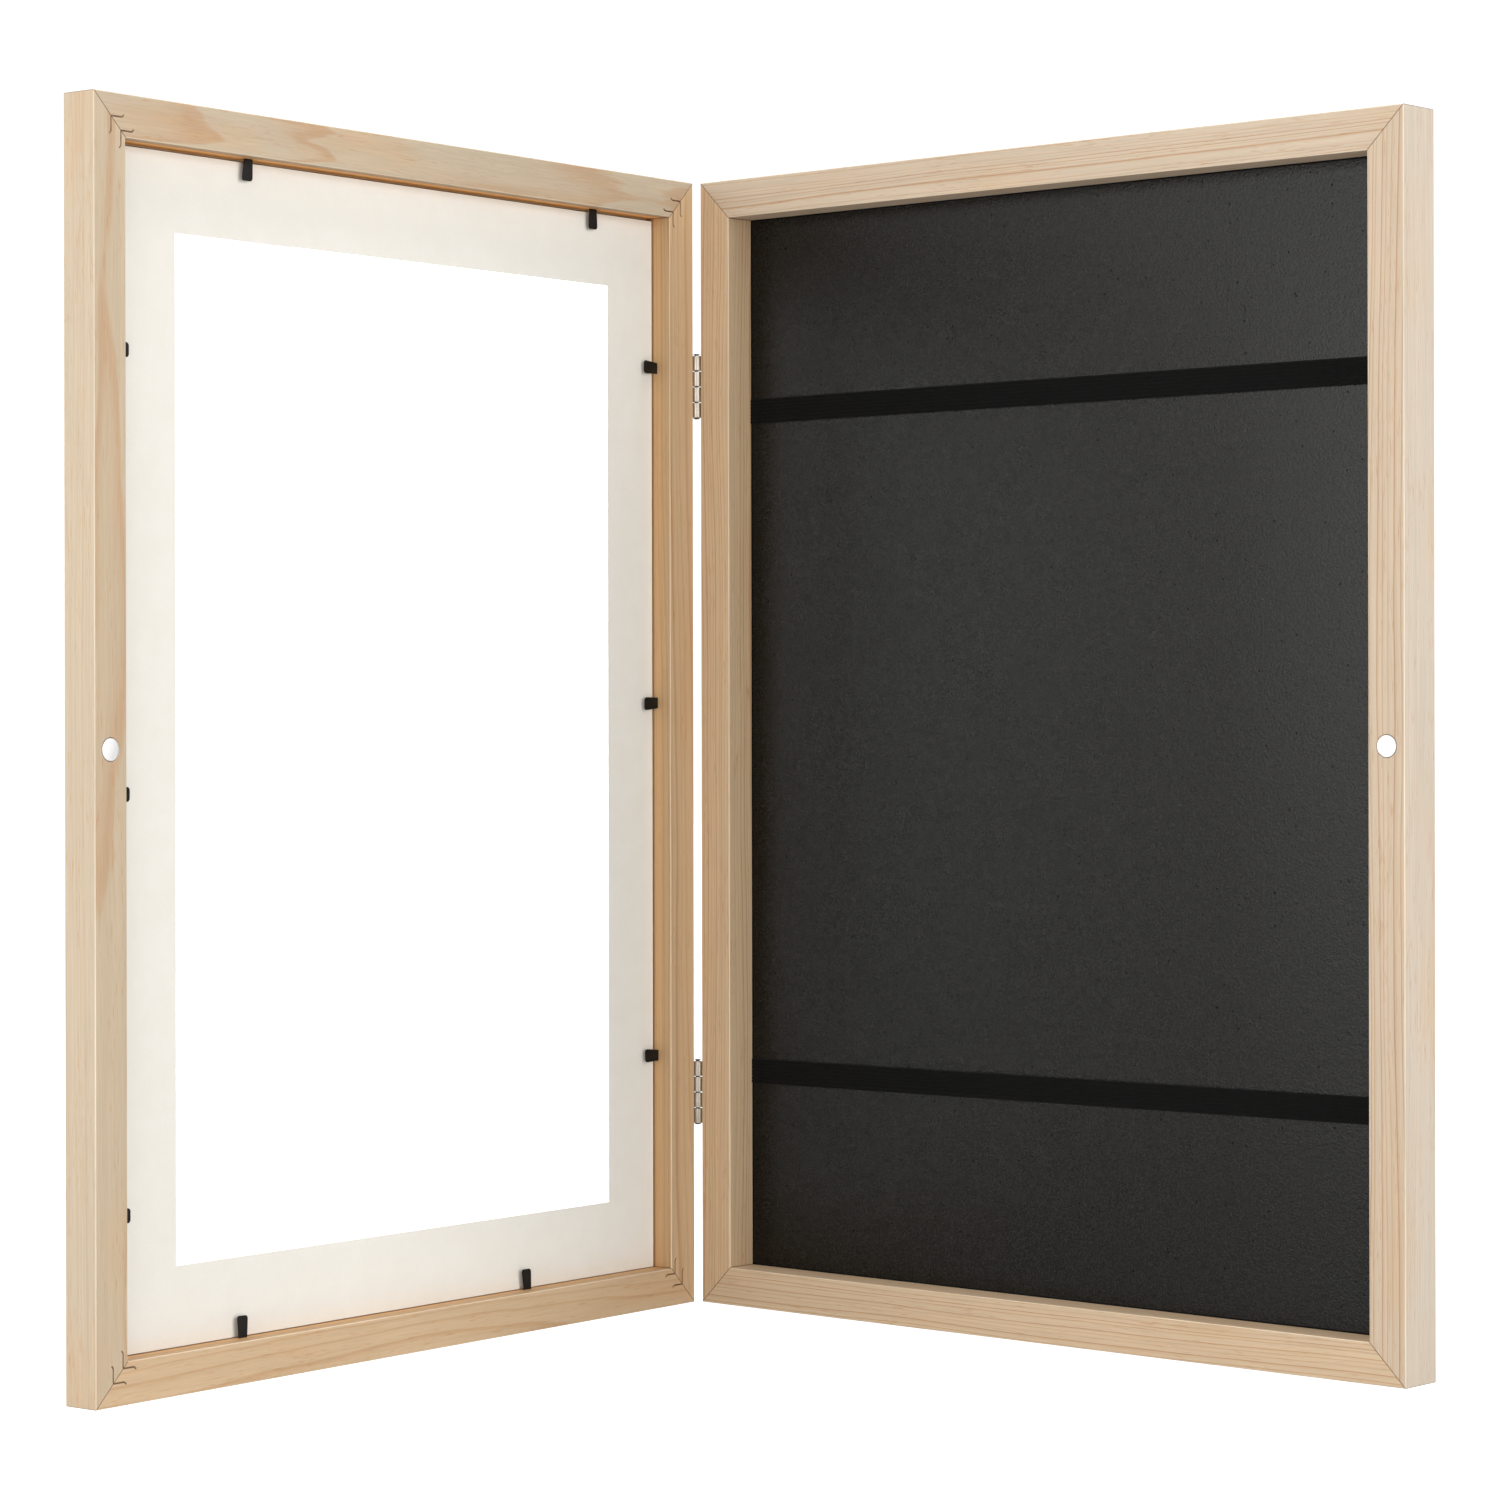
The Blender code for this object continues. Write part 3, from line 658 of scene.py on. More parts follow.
    @staticmethod
    def _handling() -> bpy.types.NodeTree:
        """Handled metal: cloudy dulling, and fine rubbing marks that run one way.

        Returns:
            The group, whose cloud and rub values run from 0 to 1.
        """
        tree, start = new_group("handled_metal", {"Place": "Vector", "Scale": "Float"}, ("Cloud", "Rub"))
        cloud = tree.noise(start["Place"], start["Scale"], 3.0)
        rub = tree.noise(tree.scaled(start["Place"], (9000.0, 9000.0, 500.0)), 1.0)
        tree.finish({"Cloud": cloud, "Rub": rub})
        return tree.tree


# ---------------------------------------------------------------- finishes


def new_finish(name: str) -> tuple[bpy.types.Material, Tree, bpy.types.Node]:
    """Material with an empty tree, a Principled shader and its output.

    Args:
        name: name of the material.

    Returns:
        The material, its tree, and the shader node.
    """
    material = bpy.data.materials.new(name)
    material.use_nodes = True
    material.node_tree.nodes.clear()
    tree = Tree(material.node_tree)
    shader = tree.add("BsdfPrincipled")
    tree.add("OutputMaterial", {"Surface": shader.outputs[0]})
    return material, tree, shader


def bump(tree: Tree, height: Socket, distance: float, strength: float = 1.0) -> Socket:
    """Normal of a height from 0 to 1, whose full step is a distance."""
    inputs = {"Strength": strength, "Distance": distance, "Height": height}
    return tree.add("Bump", inputs).outputs[0]


@dataclass(frozen=True)
class Pine:
    """Pale pine under thin matt lacquer, figured through its whole thickness.

    It reads three attributes of a moulding: "grain", the place in the log; "marks", which holds
    the roundness of the arris, the distance to the mitre, and how warm the wood is; and "spot",
    the place in the section, and how much painted bounce light the wall of the rebate gets.
    """

    name: str
    pale: Colour
    warm: Colour
    late: Colour
    flush: Colour
    spacing: float
    ring_share: float
    flush_share: float
    wobble: float = 0.011
    wall: tuple[float, float] = (0.01904, 0.01915)

    def build(self, effects: Effects) -> bpy.types.Material:
        """Makes the material.

        Args:
            effects: the shared effects.

        Returns:
            The material.
        """
        material, tree, shader = new_finish(self.name)
        log = tree.add("Attribute", attribute_name="grain").outputs["Vector"]
        marks = tree.add("Attribute", attribute_name="marks").outputs["Vector"]
        arris, joint, tone = tree.axes(marks)
        rings = tree.use(effects.rings, {"Log": log, "Spacing": self.spacing, "Wobble": self.wobble})
        fibres = tree.use(effects.fibres, {"Log": log})
        across, depth, painted_bounce = tree.axes(tree.add("Attribute", attribute_name="spot").outputs["Vector"])
        quiet = tree.span(across, 0.0001, 0.0006, 0.4 * self.ring_share, self.ring_share)
        late = tree.sum("MULTIPLY", rings.outputs["Late"], quiet)
        flushed = tree.span(fibres.outputs["Patch"], 0.52, 0.74, 0.0, self.flush_share)
        toned = tree.blend(tone, rgba(self.pale), rgba(self.warm))
        ground = tree.blend(flushed, toned, rgba(self.flush))
        figured = tree.blend(late, ground, rgba(self.late))
        canals = tree.sum("MULTIPLY", fibres.outputs["Canal"], 0.4)
        lined = tree.blend(canals, figured, rgba(self.late))
        streak = tree.span(fibres.outputs["Streak"], 0.25, 0.75, 0.94, 1.05)
        band = tree.span(fibres.outputs["Band"], 0.25, 0.75, 0.97, 1.03)
        value = tree.sum("MULTIPLY", streak, band)
        shaded = tree.add("HueSaturation", {"Value": value, "Color": lined}).outputs[0]
        rubbed = tree.sum("MULTIPLY", arris, tree.span(fibres.outputs["Band"], 0.3, 0.7, 0.5, 0.9))
        worn = tree.blend(rubbed, shaded, rgba(tint(236, 221, 198)))
        # The rebate wall gets painted bounce light and painted shade.
        rebate_lit = self._rebate_light(tree, worn, across, depth, painted_bounce)
        seam = tree.span(joint, 0.06, 0.4, 0.9, 0.0)
        coloured = tree.blend(seam, rebate_lit, rgba(tint(112, 78, 50)))
        rough = tree.span(fibres.outputs["Streak"], 0.2, 0.8, 0.46, 0.6)
        relief = tree.sum("ADD", fibres.outputs["Streak"], tree.sum("MULTIPLY", rings.outputs["Late"], 0.6))
        tree.feed(shader, {
            "Base Color": coloured,
            "Roughness": rough,
            "Specular IOR Level": 0.28,
            "Normal": bump(tree, relief, 0.00004, 0.6),
        })
        return material

    def _rebate_light(self, tree: Tree, colour: Socket, across: Socket, depth: Socket, painted_bounce: Socket) -> Socket:
        """Painted light and shade on the wall of the rebate: painted orange bounce light beyond a thin
        dark line, or a painted dark shade at the mat's edge.

        The wall is where the distance across lies between the two limits. All of it is first
        warmed by half, as painted bounce light. The orange, the line and the edge then go by their depths.

        Args:
            tree: tree of the material.
            colour: colour of the bare wood.
            across: distance from the outer edge.
            depth: depth below the inner face.
            painted_bounce: how much painted bounce light the wall gets. The less, the more its painted shade at the mat
                shows.

        Returns:
            The colour with the painted light and shade.
        """
        low, high = (tree.sum(test, across, limit) for test, limit in zip(("GREATER_THAN", "LESS_THAN"), self.wall))
        inner = tree.sum("MULTIPLY", low, high)
        wall = tree.sum("MULTIPLY", inner, painted_bounce)
        # Painted bounce light: the whole wall is warmed by half.
        colour = tree.blend(tree.span(wall, 0.0, 0.2, 0.0, 0.5), colour, rgba(tint(174, 133, 82)))
        # Painted orange bounce light on the deeper part of the wall, beyond a thin dark line.
        glow_mask = tree.sum("MULTIPLY", tree.span(depth, 0.0050, 0.0062), wall)
        line = tree.sum("MULTIPLY", tree.span(depth, 0.0049, 0.0054), tree.span(depth, 0.0058, 0.0064, 1.0, 0.0))
        dark = tree.sum("MULTIPLY", line, tree.sum("MULTIPLY", wall, 0.6))
        # Painted shade: a dark edge of the wall at the mat. The less painted bounce light the wall gets, the more it
        # shows.
        bare = tree.sum("MULTIPLY", wall, tree.sum("SUBTRACT", 1.0, painted_bounce))
        foot = tree.sum("MULTIPLY", tree.span(depth, 0.0101, 0.0108, 0.0, 3.0), bare)
        orange = tree.blend(glow_mask, colour, rgba(tint(246, 178, 104)))
        lined = tree.blend(dark, orange, rgba(tint(104, 66, 36)))
        return tree.blend(foot, lined, rgba(tint(112, 70, 38)))


@dataclass(frozen=True)
class CharcoalPaper:
    """Dark paper face of the board, finely mottled, with tiny pale specks and dark pits.

    A pit is black and metallic, so that it reflects almost nothing. Along the mouldings the
    paper is painted black and dull in a narrow band: painted shade where the board meets the wood.

    Attributes:
        name: name of the material.
        ground: main colour.
        cool: colour of bluish mottles.
        brown: colour of brown mottles.
        size: sizes of the frame, which give the edges of the opening.
        edge_shade: distances from those edges between which the painted shade fades out.
    """

    name: str = "charcoal_paper"
    ground: Colour = tint(11, 10, 7)
    cool: Colour = tint(13, 16, 20)
    brown: Colour = tint(22, 17, 12)
    size: FrameSize = FrameSize()
    edge_shade: tuple[float, float] = (0.0005, 0.0011)

    def build(self, effects: Effects) -> bpy.types.Material:
        """Makes the material.

        Args:
            effects: the shared effects.

        Returns:
            The material.
        """
        material, tree, shader = new_finish(self.name)
        place = tree.add("TexCoord").outputs["Object"]
        mottle = tree.use(effects.mottle, {"Place": place, "Scale": 1100.0})
        tones = tree.use(effects.mottle, {"Place": place, "Scale": 420.0})
        cool = tree.span(tones.outputs["Fine"], 0.52, 0.7, 0.0, 0.5)
        brown = tree.span(tones.outputs["Fine"], 0.48, 0.3, 0.0, 0.5)
        toned = tree.blend(brown, tree.blend(cool, rgba(self.ground), rgba(self.cool)), rgba(self.brown))
        fine = tree.span(mottle.outputs["Fine"], 0.25, 0.75, 0.2, 1.8)
        broad = tree.span(mottle.outputs["Broad"], 0.25, 0.75, 0.94, 1.06)
        value = tree.sum("MULTIPLY", fine, broad)
        grained = tree.add("HueSaturation", {"Value": value, "Color": toned}).outputs[0]
        pale = tree.use(effects.specks, {"Place": place, "Scale": 160.0, "Share": 0.018, "Radius": 0.05})
        dark = tree.use(effects.specks, {"Place": place, "Scale": 250.0, "Share": 0.22, "Radius": 0.11})
        specked = tree.blend(pale.outputs["Mask"], grained, rgba(tint(70, 67, 62)))
        pitted = tree.blend(dark.outputs["Mask"], specked, rgba(tint(2, 2, 2)))
        x, _, z = tree.axes(place)
        # Painted shade: near the edges of the opening the paper turns black and dull.
        side = tree.sum("SUBTRACT", self.size.width / 2 - self.size.face, tree.sum("ABSOLUTE", x))
        low = tree.sum("SUBTRACT", z, self.size.face)
        high = tree.sum("SUBTRACT", self.size.height - self.size.face, z)
        near = tree.sum("MINIMUM", side, tree.sum("MINIMUM", low, high))
        coloured = tree.blend(tree.span(near, *self.edge_shade, 1.0, 0.0), pitted, rgba((0.0, 0.0, 0.0)))
        satin = tree.span(mottle.outputs["Fine"], 0.25, 0.75, 0.17, 0.33)
        rough = tree.sum("MAXIMUM", satin, dark.outputs["Mask"])
        tree.feed(shader, {
            "Base Color": coloured,
            "Metallic": dark.outputs["Mask"],
            "Roughness": tree.span(near, *self.edge_shade, 1.0, rough),
            "Specular IOR Level": 0.265,
            "Normal": bump(tree, mottle.outputs["Fine"], 0.0002),
        })
        return material


@dataclass(frozen=True)
class Fibreboard:
    """Brown fibreboard, the back and the edges of the board."""

    name: str = "fibreboard"
    ground: Colour = tint(150, 118, 86)
    pale: Colour = tint(176, 146, 112)

    def build(self, effects: Effects) -> bpy.types.Material:
        """Makes the material.

        Args:
            effects: the shared effects.

        Returns:
            The material.
        """
        material, tree, shader = new_finish(self.name)
        place = tree.add("TexCoord").outputs["Object"]
        mottle = tree.use(effects.mottle, {"Place": place, "Scale": 900.0})
        felted = tree.noise(tree.scaled(place, (300.0, 300.0, 90.0)), 1.0, 4.0, 0.7)
        mixed = tree.blend(tree.span(felted, 0.4, 0.65, 0.0, 0.7), rgba(self.ground), rgba(self.pale))
        value = tree.span(mottle.outputs["Fine"], 0.25, 0.75, 0.86, 1.14)
        grained = tree.add("HueSaturation", {"Value": value, "Color": mixed}).outputs[0]
        chips = tree.use(effects.specks, {"Place": place, "Scale": 420.0, "Share": 0.12, "Radius": 0.22})
        coloured = tree.blend(chips.outputs["Mask"], grained, rgba(tint(104, 78, 54)))
        tree.feed(shader, {
            "Base Color": coloured,
            "Roughness": tree.span(felted, 0.3, 0.7, 0.6, 0.78),
            "Normal": bump(tree, mottle.outputs["Fine"], 0.00005),
        })
        return material


@dataclass(frozen=True)
class Webbing:
    """Black ribbed elastic, knitted in small V stitches along each rib.

    Attributes:
        pitch: width of a rib.
        name: name of the material.
        stitch: length of a stitch.
    """

    pitch: float
    name: str = "black_elastic"
    stitch: float = 0.0011

    def build(self, effects: Effects) -> bpy.types.Material:
        """Makes the material.

        A stitch is half a sine along the strap, pushed on by the distance from the middle of
        its rib, so that neighbouring stitches make a V.

        Args:
            effects: the shared effects.

        Returns:
            The material.
        """
        material, tree, shader = new_finish(self.name)
        place = tree.add("TexCoord").outputs["Object"]
        x, _, z = tree.axes(place)
        rib = tree.sum("FRACT", tree.sum("DIVIDE", z, self.pitch))
        slope = tree.sum("ABSOLUTE", tree.sum("SUBTRACT", rib, 0.5))
        turn = tree.sum("ADD", tree.sum("DIVIDE", x, self.stitch), tree.sum("MULTIPLY", slope, 1.6))
        knit = tree.sum("SINE", tree.sum("MULTIPLY", tree.sum("FRACT", turn), math.pi))
        mottle = tree.use(effects.mottle, {"Place": place, "Scale": 1500.0})
        shade = tree.sum("MULTIPLY", knit, tree.span(mottle.outputs["Fine"], 0.3, 0.7, 0.6, 1.0))
        coloured = tree.blend(shade, rgba(tint(4, 4, 4)), rgba(tint(13, 13, 12)))
        tree.feed(shader, {
            "Base Color": coloured,
            "Roughness": tree.span(mottle.outputs["Fine"], 0.3, 0.7, 0.8, 0.95),
            "Specular IOR Level": 0.12,
            "Sheen Weight": 0.03,
            "Sheen Roughness": 0.5,
            "Normal": bump(tree, knit, 0.00012, 0.8),
        })
        return material


@dataclass(frozen=True)
class Card:
    """Warm white mat card with the faint tooth of paper, painted a little paler towards the hinges and a little darker
    towards the free stile: painted light that evens out the lamps' shading.
    """

    name: str = "mat_card_white"
    ground: Colour = tint(242, 238.5, 230)
    warm: Colour = tint(240, 235.5, 226)

    def build(self, effects: Effects) -> bpy.types.Material:
        """Makes the material.

        Args:
            effects: the shared effects.

        Returns:
            The material.
        """
        material, tree, shader = new_finish(self.name)
        place = tree.add("TexCoord").outputs["Object"]
        mottle = tree.use(effects.mottle, {"Place": place, "Scale": 1300.0})
        toned = tree.blend(tree.span(mottle.outputs["Broad"], 0.2, 0.8), rgba(self.ground), rgba(self.warm))
        _, along, _ = tree.axes(place)
        # Painted light: the card is lighter towards the hinges and darker towards the free stile.
        painted_light_ramp = tree.span(along, -0.43, -0.01, 0.95, 1.06)
        value = tree.sum("MULTIPLY", painted_light_ramp, tree.span(mottle.outputs["Fine"], 0.25, 0.75, 0.985, 1.015))
        coloured = tree.add("HueSaturation", {"Value": value, "Color": toned}).outputs[0]
        tree.feed(shader, {
            "Base Color": coloured,
            "Roughness": tree.span(mottle.outputs["Fine"], 0.2, 0.8, 0.78, 0.92),
            "Specular IOR Level": 0.3,
            "Normal": bump(tree, mottle.outputs["Fine"], 0.00003, 0.5),
        })
        return material


@dataclass(frozen=True)
class ClearSheet:
    """Clear sheet, very faintly hazed where it was wiped."""

    name: str = "clear_acrylic"

    def build(self, effects: Effects) -> bpy.types.Material:
        """Makes the material.

        Args:
            effects: the shared effects.

        Returns:
            The material.
        """
        material, tree, shader = new_finish(self.name)
        place = tree.add("TexCoord").outputs["Object"]
        wiped = tree.use(effects.handling, {"Place": place, "Scale": 14.0})
        tree.feed(shader, {
            "Base Color": rgba((1.0, 1.0, 1.0)),
            "Roughness": tree.span(wiped.outputs["Cloud"], 0.4, 0.8, 0.0, 0.02),
            "IOR": 1.49,
            "Transmission Weight": 1.0,
        })
        return material


@dataclass(frozen=True)
class Metal:
    """Plated or bare metal, with cloudy dulling and rubbing marks."""

    name: str
    ground: Colour
    dull: Colour
    rough: tuple[float, float]
    scale: float = 350.0
    relief: float = 0.000008
    edge: Colour = (1.0, 1.0, 1.0)

    def build(self, effects: Effects) -> bpy.types.Material:
        """Makes the material.

        Args:
            effects: the shared effects.

        Returns:
            The material.
        """
        material, tree, shader = new_finish(self.name)
        place = tree.add("TexCoord").outputs["Object"]
        worn = tree.use(effects.handling, {"Place": place, "Scale": self.scale})
        cloud = tree.span(worn.outputs["Cloud"], 0.4, 0.7)
        rub = tree.span(worn.outputs["Rub"], 0.35, 0.7)
        mixed = tree.sum("MULTIPLY_ADD", rub, 0.35, tree.sum("MULTIPLY", cloud, 0.65))
        tree.feed(shader, {
            "Base Color": tree.blend(mixed, rgba(self.ground), rgba(self.dull)),
            "Roughness": tree.span(mixed, 0.0, 1.0, *self.rough),
            "Metallic": 1.0,
            "Specular Tint": rgba(self.edge),
            "Normal": bump(tree, worn.outputs["Rub"], self.relief, 0.5),
        })
        return material


@dataclass(frozen=True)
class BlackSpring:
    """Thin black sheet of the flexible points, with a satin face and duller smudges."""

    name: str = "black_points"
    ground: Colour = tint(12, 10, 9)

    def build(self, effects: Effects) -> bpy.types.Material:
        """Makes the material.

        Args:
            effects: the shared effects.

        Returns:
            The material.
        """
        material, tree, shader = new_finish(self.name)
        place = tree.add("TexCoord").outputs["Object"]
        worn = tree.use(effects.handling, {"Place": place, "Scale": 500.0})
        smudge = tree.span(worn.outputs["Cloud"], 0.4, 0.7)
        tree.feed(shader, {
            "Base Color": tree.blend(smudge, rgba(self.ground), rgba(tint(24, 21, 18))),
            "Roughness": tree.span(smudge, 0.0, 1.0, 0.4, 0.55),
            "Specular IOR Level": 0.3,
            "Normal": bump(tree, worn.outputs["Cloud"], 0.00002, 0.5),
        })
        return material


@dataclass
class Palette:
    """Every finish of the frame, built once."""

    strap_pitch: float
    made: dict[str, bpy.types.Material] = field(default_factory=dict)

    def build(self) -> None:
        """Builds the shared effects and all the finishes."""
        effects = Effects()
        finishes = {
            "box_pine": Pine("pale_pine", pale=tint(201, 188, 171), warm=tint(214, 183, 143),
                             late=tint(176, 122, 74), flush=tint(208, 172, 132), spacing=0.0019,
                             ring_share=0.9, flush_share=0.35),
            "door_pine": Pine("warm_pine", pale=tint(194, 179, 156), warm=tint(214, 181, 141),
                              late=tint(184, 130, 80), flush=tint(210, 160, 110), spacing=0.0023,
                              ring_share=0.8, flush_share=0.3),
            "paper": CharcoalPaper(),
            "fibreboard": Fibreboard(),
            "elastic": Webbing(self.strap_pitch),
            "card": Card(),
            "clear": ClearSheet(),
            "points": BlackSpring(),
            "magnet": Metal("bright_nickel", (0.98, 0.98, 0.98), (0.93, 0.93, 0.94), (0.6, 0.75)),
            # The hinge's dark brown edge tint darkens the sides of its barrels: painted shade.
            "hinge": Metal("satin_nickel", (0.52, 0.47, 0.41), (0.40, 0.36, 0.30), (0.3, 0.42), scale=120.0,
                           relief=0.000003, edge=tint(70, 50, 36)),
            # The pin's steel is painted dark, which shows as painted shade in the seams between the knuckles.
            "pin": Metal("pin_steel_seam_shade", (0.16, 0.13, 0.11), (0.08, 0.065, 0.05), (0.4, 0.6)),
            # The nails' brown is partly their steel and partly painted shade in their slots.
            "nail": Metal("brown_steel_slot_shade", (0.34, 0.21, 0.13), (0.18, 0.11, 0.07), (0.4, 0.65)),
            "zinc": Metal("zinc_plate", (0.72, 0.72, 0.71), (0.52, 0.52, 0.51), (0.3, 0.5)),
        }
        self.made.update({key: finish.build(effects) for key, finish in finishes.items()})

    def __getitem__(self, key: str) -> bpy.types.Material:
        """A finish by its short name."""
        return self.made[key]


# ---------------------------------------------------------------- pieces


def coordinates(piece: bpy.types.Object) -> Array:
    """Rows of X, Y and Z of a piece's points.

    Args:
        piece: the piece.

    Returns:
        One row for each point.
    """
    points = np.empty(len(piece.data.vertices) * 3)
    piece.data.vertices.foreach_get("co", points)
    return points.reshape(-1, 3)


class Workshop:
    """Turns shells into finished pieces, and reports each of them."""

    def __init__(self, palette: Palette) -> None:
        """Keeps the finishes that the pieces get."""
        self.palette = palette

    @staticmethod
    def mesh_object(name: str, shell: Shell) -> bpy.types.Object:
        """Object of a shell at the origin, with every face turned outwards.

        Args:
            name: name of the object.
            shell: closed shell at its place at rest.

        Returns:
            The object.
        """
        data = bpy.data.meshes.new(name)
        data.from_pydata(shell.points.tolist(), [], shell.quads.tolist() + shell.caps)
        mesh = bmesh.new()
        mesh.from_mesh(data)
        bmesh.ops.recalc_face_normals(mesh, faces=mesh.faces)
        mesh.to_mesh(data)
        mesh.free()
        made = bpy.data.objects.new(name, data)
        bpy.context.scene.collection.objects.link(made)
        return made

    def piece(self, half: Half, name: str, shell: Shell, finish: str, slot: Slot, nodes: tuple[str, ...],
              sharp: float = 32.0, tools: tuple[Shell, ...] = ()) -> bpy.types.Object:
        """Finished piece that rides on a half.

        Args:
            half: the box or the door.
            name: name of the piece.
            shell: closed shell at its place at rest.
            finish: short name of its finish.
            slot: the record's slot; not used.
            nodes: the CAD nodes that it stands for.
            sharp: edges that bend by more degrees than this stay crisp.
            tools: shells that are cut out of it.

        Returns:
            The piece.
        """
        made = self.mesh_object(name, shell)
        for tool in tools:
            self.cut(made, tool)
        made.data.shade_smooth()
        made.data.set_sharp_from_angle(angle=math.radians(sharp))
        made.data.materials.append(self.palette[finish])
        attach(made, half.body)
        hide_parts(*nodes)
        self.report(made, nodes)
        return made

    @staticmethod
    def cut(piece: bpy.types.Object, tool_shell: Shell) -> None:
        """Cuts a closed shell out of a piece, for good.

        Args:
            piece: the piece.
            tool_shell: what is cut away.
        """
        tool = Workshop.mesh_object("socket_tool", tool_shell)
        modifier = piece.modifiers.new("socket", "BOOLEAN")
        modifier.operation = "DIFFERENCE"
        modifier.solver = "EXACT"
        modifier.object = tool
        shown = piece.evaluated_get(bpy.context.evaluated_depsgraph_get())
        old, piece.data = piece.data, bpy.data.meshes.new_from_object(shown)
        piece.modifiers.clear()
        piece.data.name = piece.name
        bpy.data.meshes.remove(old)
        data = tool.data
        bpy.data.objects.remove(tool)
        bpy.data.meshes.remove(data)

    @staticmethod
    def report(piece: bpy.types.Object, nodes: tuple[str, ...]) -> None:
        """Logs a piece, and how far its box is from that of the nodes it stands for.

        Args:
            piece: the piece.
            nodes: the CAD nodes that it stands for.
        """
        points = coordinates(piece)
        boxes = np.array([[list(corner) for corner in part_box(node)] for node in nodes])
        low, high = boxes[:, 0].min(axis=0), boxes[:, 1].max(axis=0)
        off = max(np.abs(points.min(axis=0) - low).max(), np.abs(points.max(axis=0) - high).max())
        LOG.info("%s: %d faces, %.2f mm off %s", piece.name, len(piece.data.polygons), off * 1000, ", ".join(nodes))


def vectors_attribute(piece: bpy.types.Object, name: str, values: Array) -> None:
    """Stores one vector for each point of a piece."""
    attribute = piece.data.attributes.new(name, "FLOAT_VECTOR", "POINT")
    attribute.data.foreach_set("vector", values.astype(np.float32).ravel())


@dataclass(frozen=True)
class Cut:
    """Where a moulding was sawn out of the log.

    Attributes:
        across: distance of its outer edge from the pith.
        depth: distance of its inner face from the pith, square to the first.
        shift: place along the log.
        drift: how far it runs off the grain, in metres a metre, across and in depth.
        tone: how warm the wood is, from 0, pale, to 1, warm.
        side_tone: the same on the outer side.
        painted_bounce: how much painted bounce light the wall of the rebate gets, from 0 to 1.
    """

    across: float
    depth: float
    shift: float
    drift: tuple[float, float]
    tone: float
    side_tone: float
    painted_bounce: float = 0.0


@dataclass
class Mouldings:
    """The four mitred mouldings of a half, with one section."""

    half: Half
    finish: str
    slot: Slot
    corners: tuple[tuple[float, float, float], ...]
    cuts: dict[Side, Cut]
    joint: float = 0.00003
    joint_chamfer: float = 0.00012
    joint_reach: float = 0.001
    lead: float = 0.00015
    arc_steps: int = 6

    def section(self) -> Array:
        """Rows of across and depth around the section, its arrises rounded."""
        corners = np.array(self.corners)
        return filleted(corners[:, :2], corners[:, 2], self.arc_steps, self.lead)

    def shell(self, side: Side) -> Shell:
        """Section carried along a moulding between two mitres.

        A point of the section lies at half the length less its distance across, so that both
        ends are cut at 45 degrees. The outline is pulled in a little at the very end.

        Args:
            side: the moulding.

        Returns:
            The closed shell at rest.
        """
        full = self.section()
        small = inset(full, self.joint_chamfer)
        ends = (small, full, full)
        backs = (self.joint, self.joint + self.joint_chamfer, self.joint + self.joint_reach)
        rings = []
        for way in (-1, 1):
            half_rings = [np.column_stack((way * (self.half.length(side) / 2 - row[:, 0] - back),
                                           self.half.way * row[:, 1], row[:, 0]))
                          for row, back in zip(ends, backs)]
            rings += half_rings if way < 0 else half_rings[::-1]
        return lofted(np.stack(rings)).moved(self.half.at(side))

    def dress(self, piece: bpy.types.Object, side: Side) -> None:
        """Stores the place in the log, the marks of arris, mitre and tone, and the place in the section.

        The arris mark is 1 on the middle of a rounded corner of radius r, where the distances
        u and v to its two flats make (1 - (u + v) / r) largest, and 0 on the flats. The mitre
        mark is the distance to the mitre as a share of the reach, from 0 to 1.

        Args:
            piece: the moulding's piece.
            side: which moulding it is.
        """
        back = np.array(self.half.at(side).inverted())
        local = coordinates(piece) @ back[:3, :3].T + back[:3, 3]
        along, depth, across = local[:, 0], local[:, 1] * self.half.way, local[:, 2]
        cut = self.cuts[side]
        grain = np.column_stack((along + cut.shift, across + cut.across + cut.drift[0] * along,
                                 depth + cut.depth + cut.drift[1] * along))
        corners = np.array(self.corners)
        u = np.abs(across[:, None] - corners[:, 0])
        v = np.abs(depth[:, None] - corners[:, 1])
        roundness = (1 - (u + v) / corners[:, 2]) / (math.sqrt(2) - 1)
        arris = np.clip(roundness.max(axis=1), 0, 1)
        joint = np.clip((self.half.length(side) / 2 - across - np.abs(along)) / self.joint_reach, 0, 1)
        outer = smooth(1 - across / self.corners[0][2])
        tone = cut.tone + (cut.side_tone - cut.tone) * outer
        vectors_attribute(piece, "grain", grain)
        vectors_attribute(piece, "marks", np.column_stack((arris, joint, tone)))
        # The third value of "spot" carries how much painted bounce light the rebate wall gets.
        vectors_attribute(piece, "spot", np.column_stack((across, depth, np.full_like(arris, cut.painted_bounce))))

    def build(self, shop: Workshop, tools: dict[Side, tuple[Shell, ...]]) -> None:
        """Makes and dresses the four pieces.

        Args:
            shop: the workshop.
            tools: shells cut out of each moulding.
        """
        for side in Side:
            node = f"{self.half.body}_{side.value}"
            made = shop.piece(self.half, f"{node}_wood", self.shell(side), self.finish, self.slot, (node,),
                              tools=tools.get(side, ()))
            self.dress(made, side)


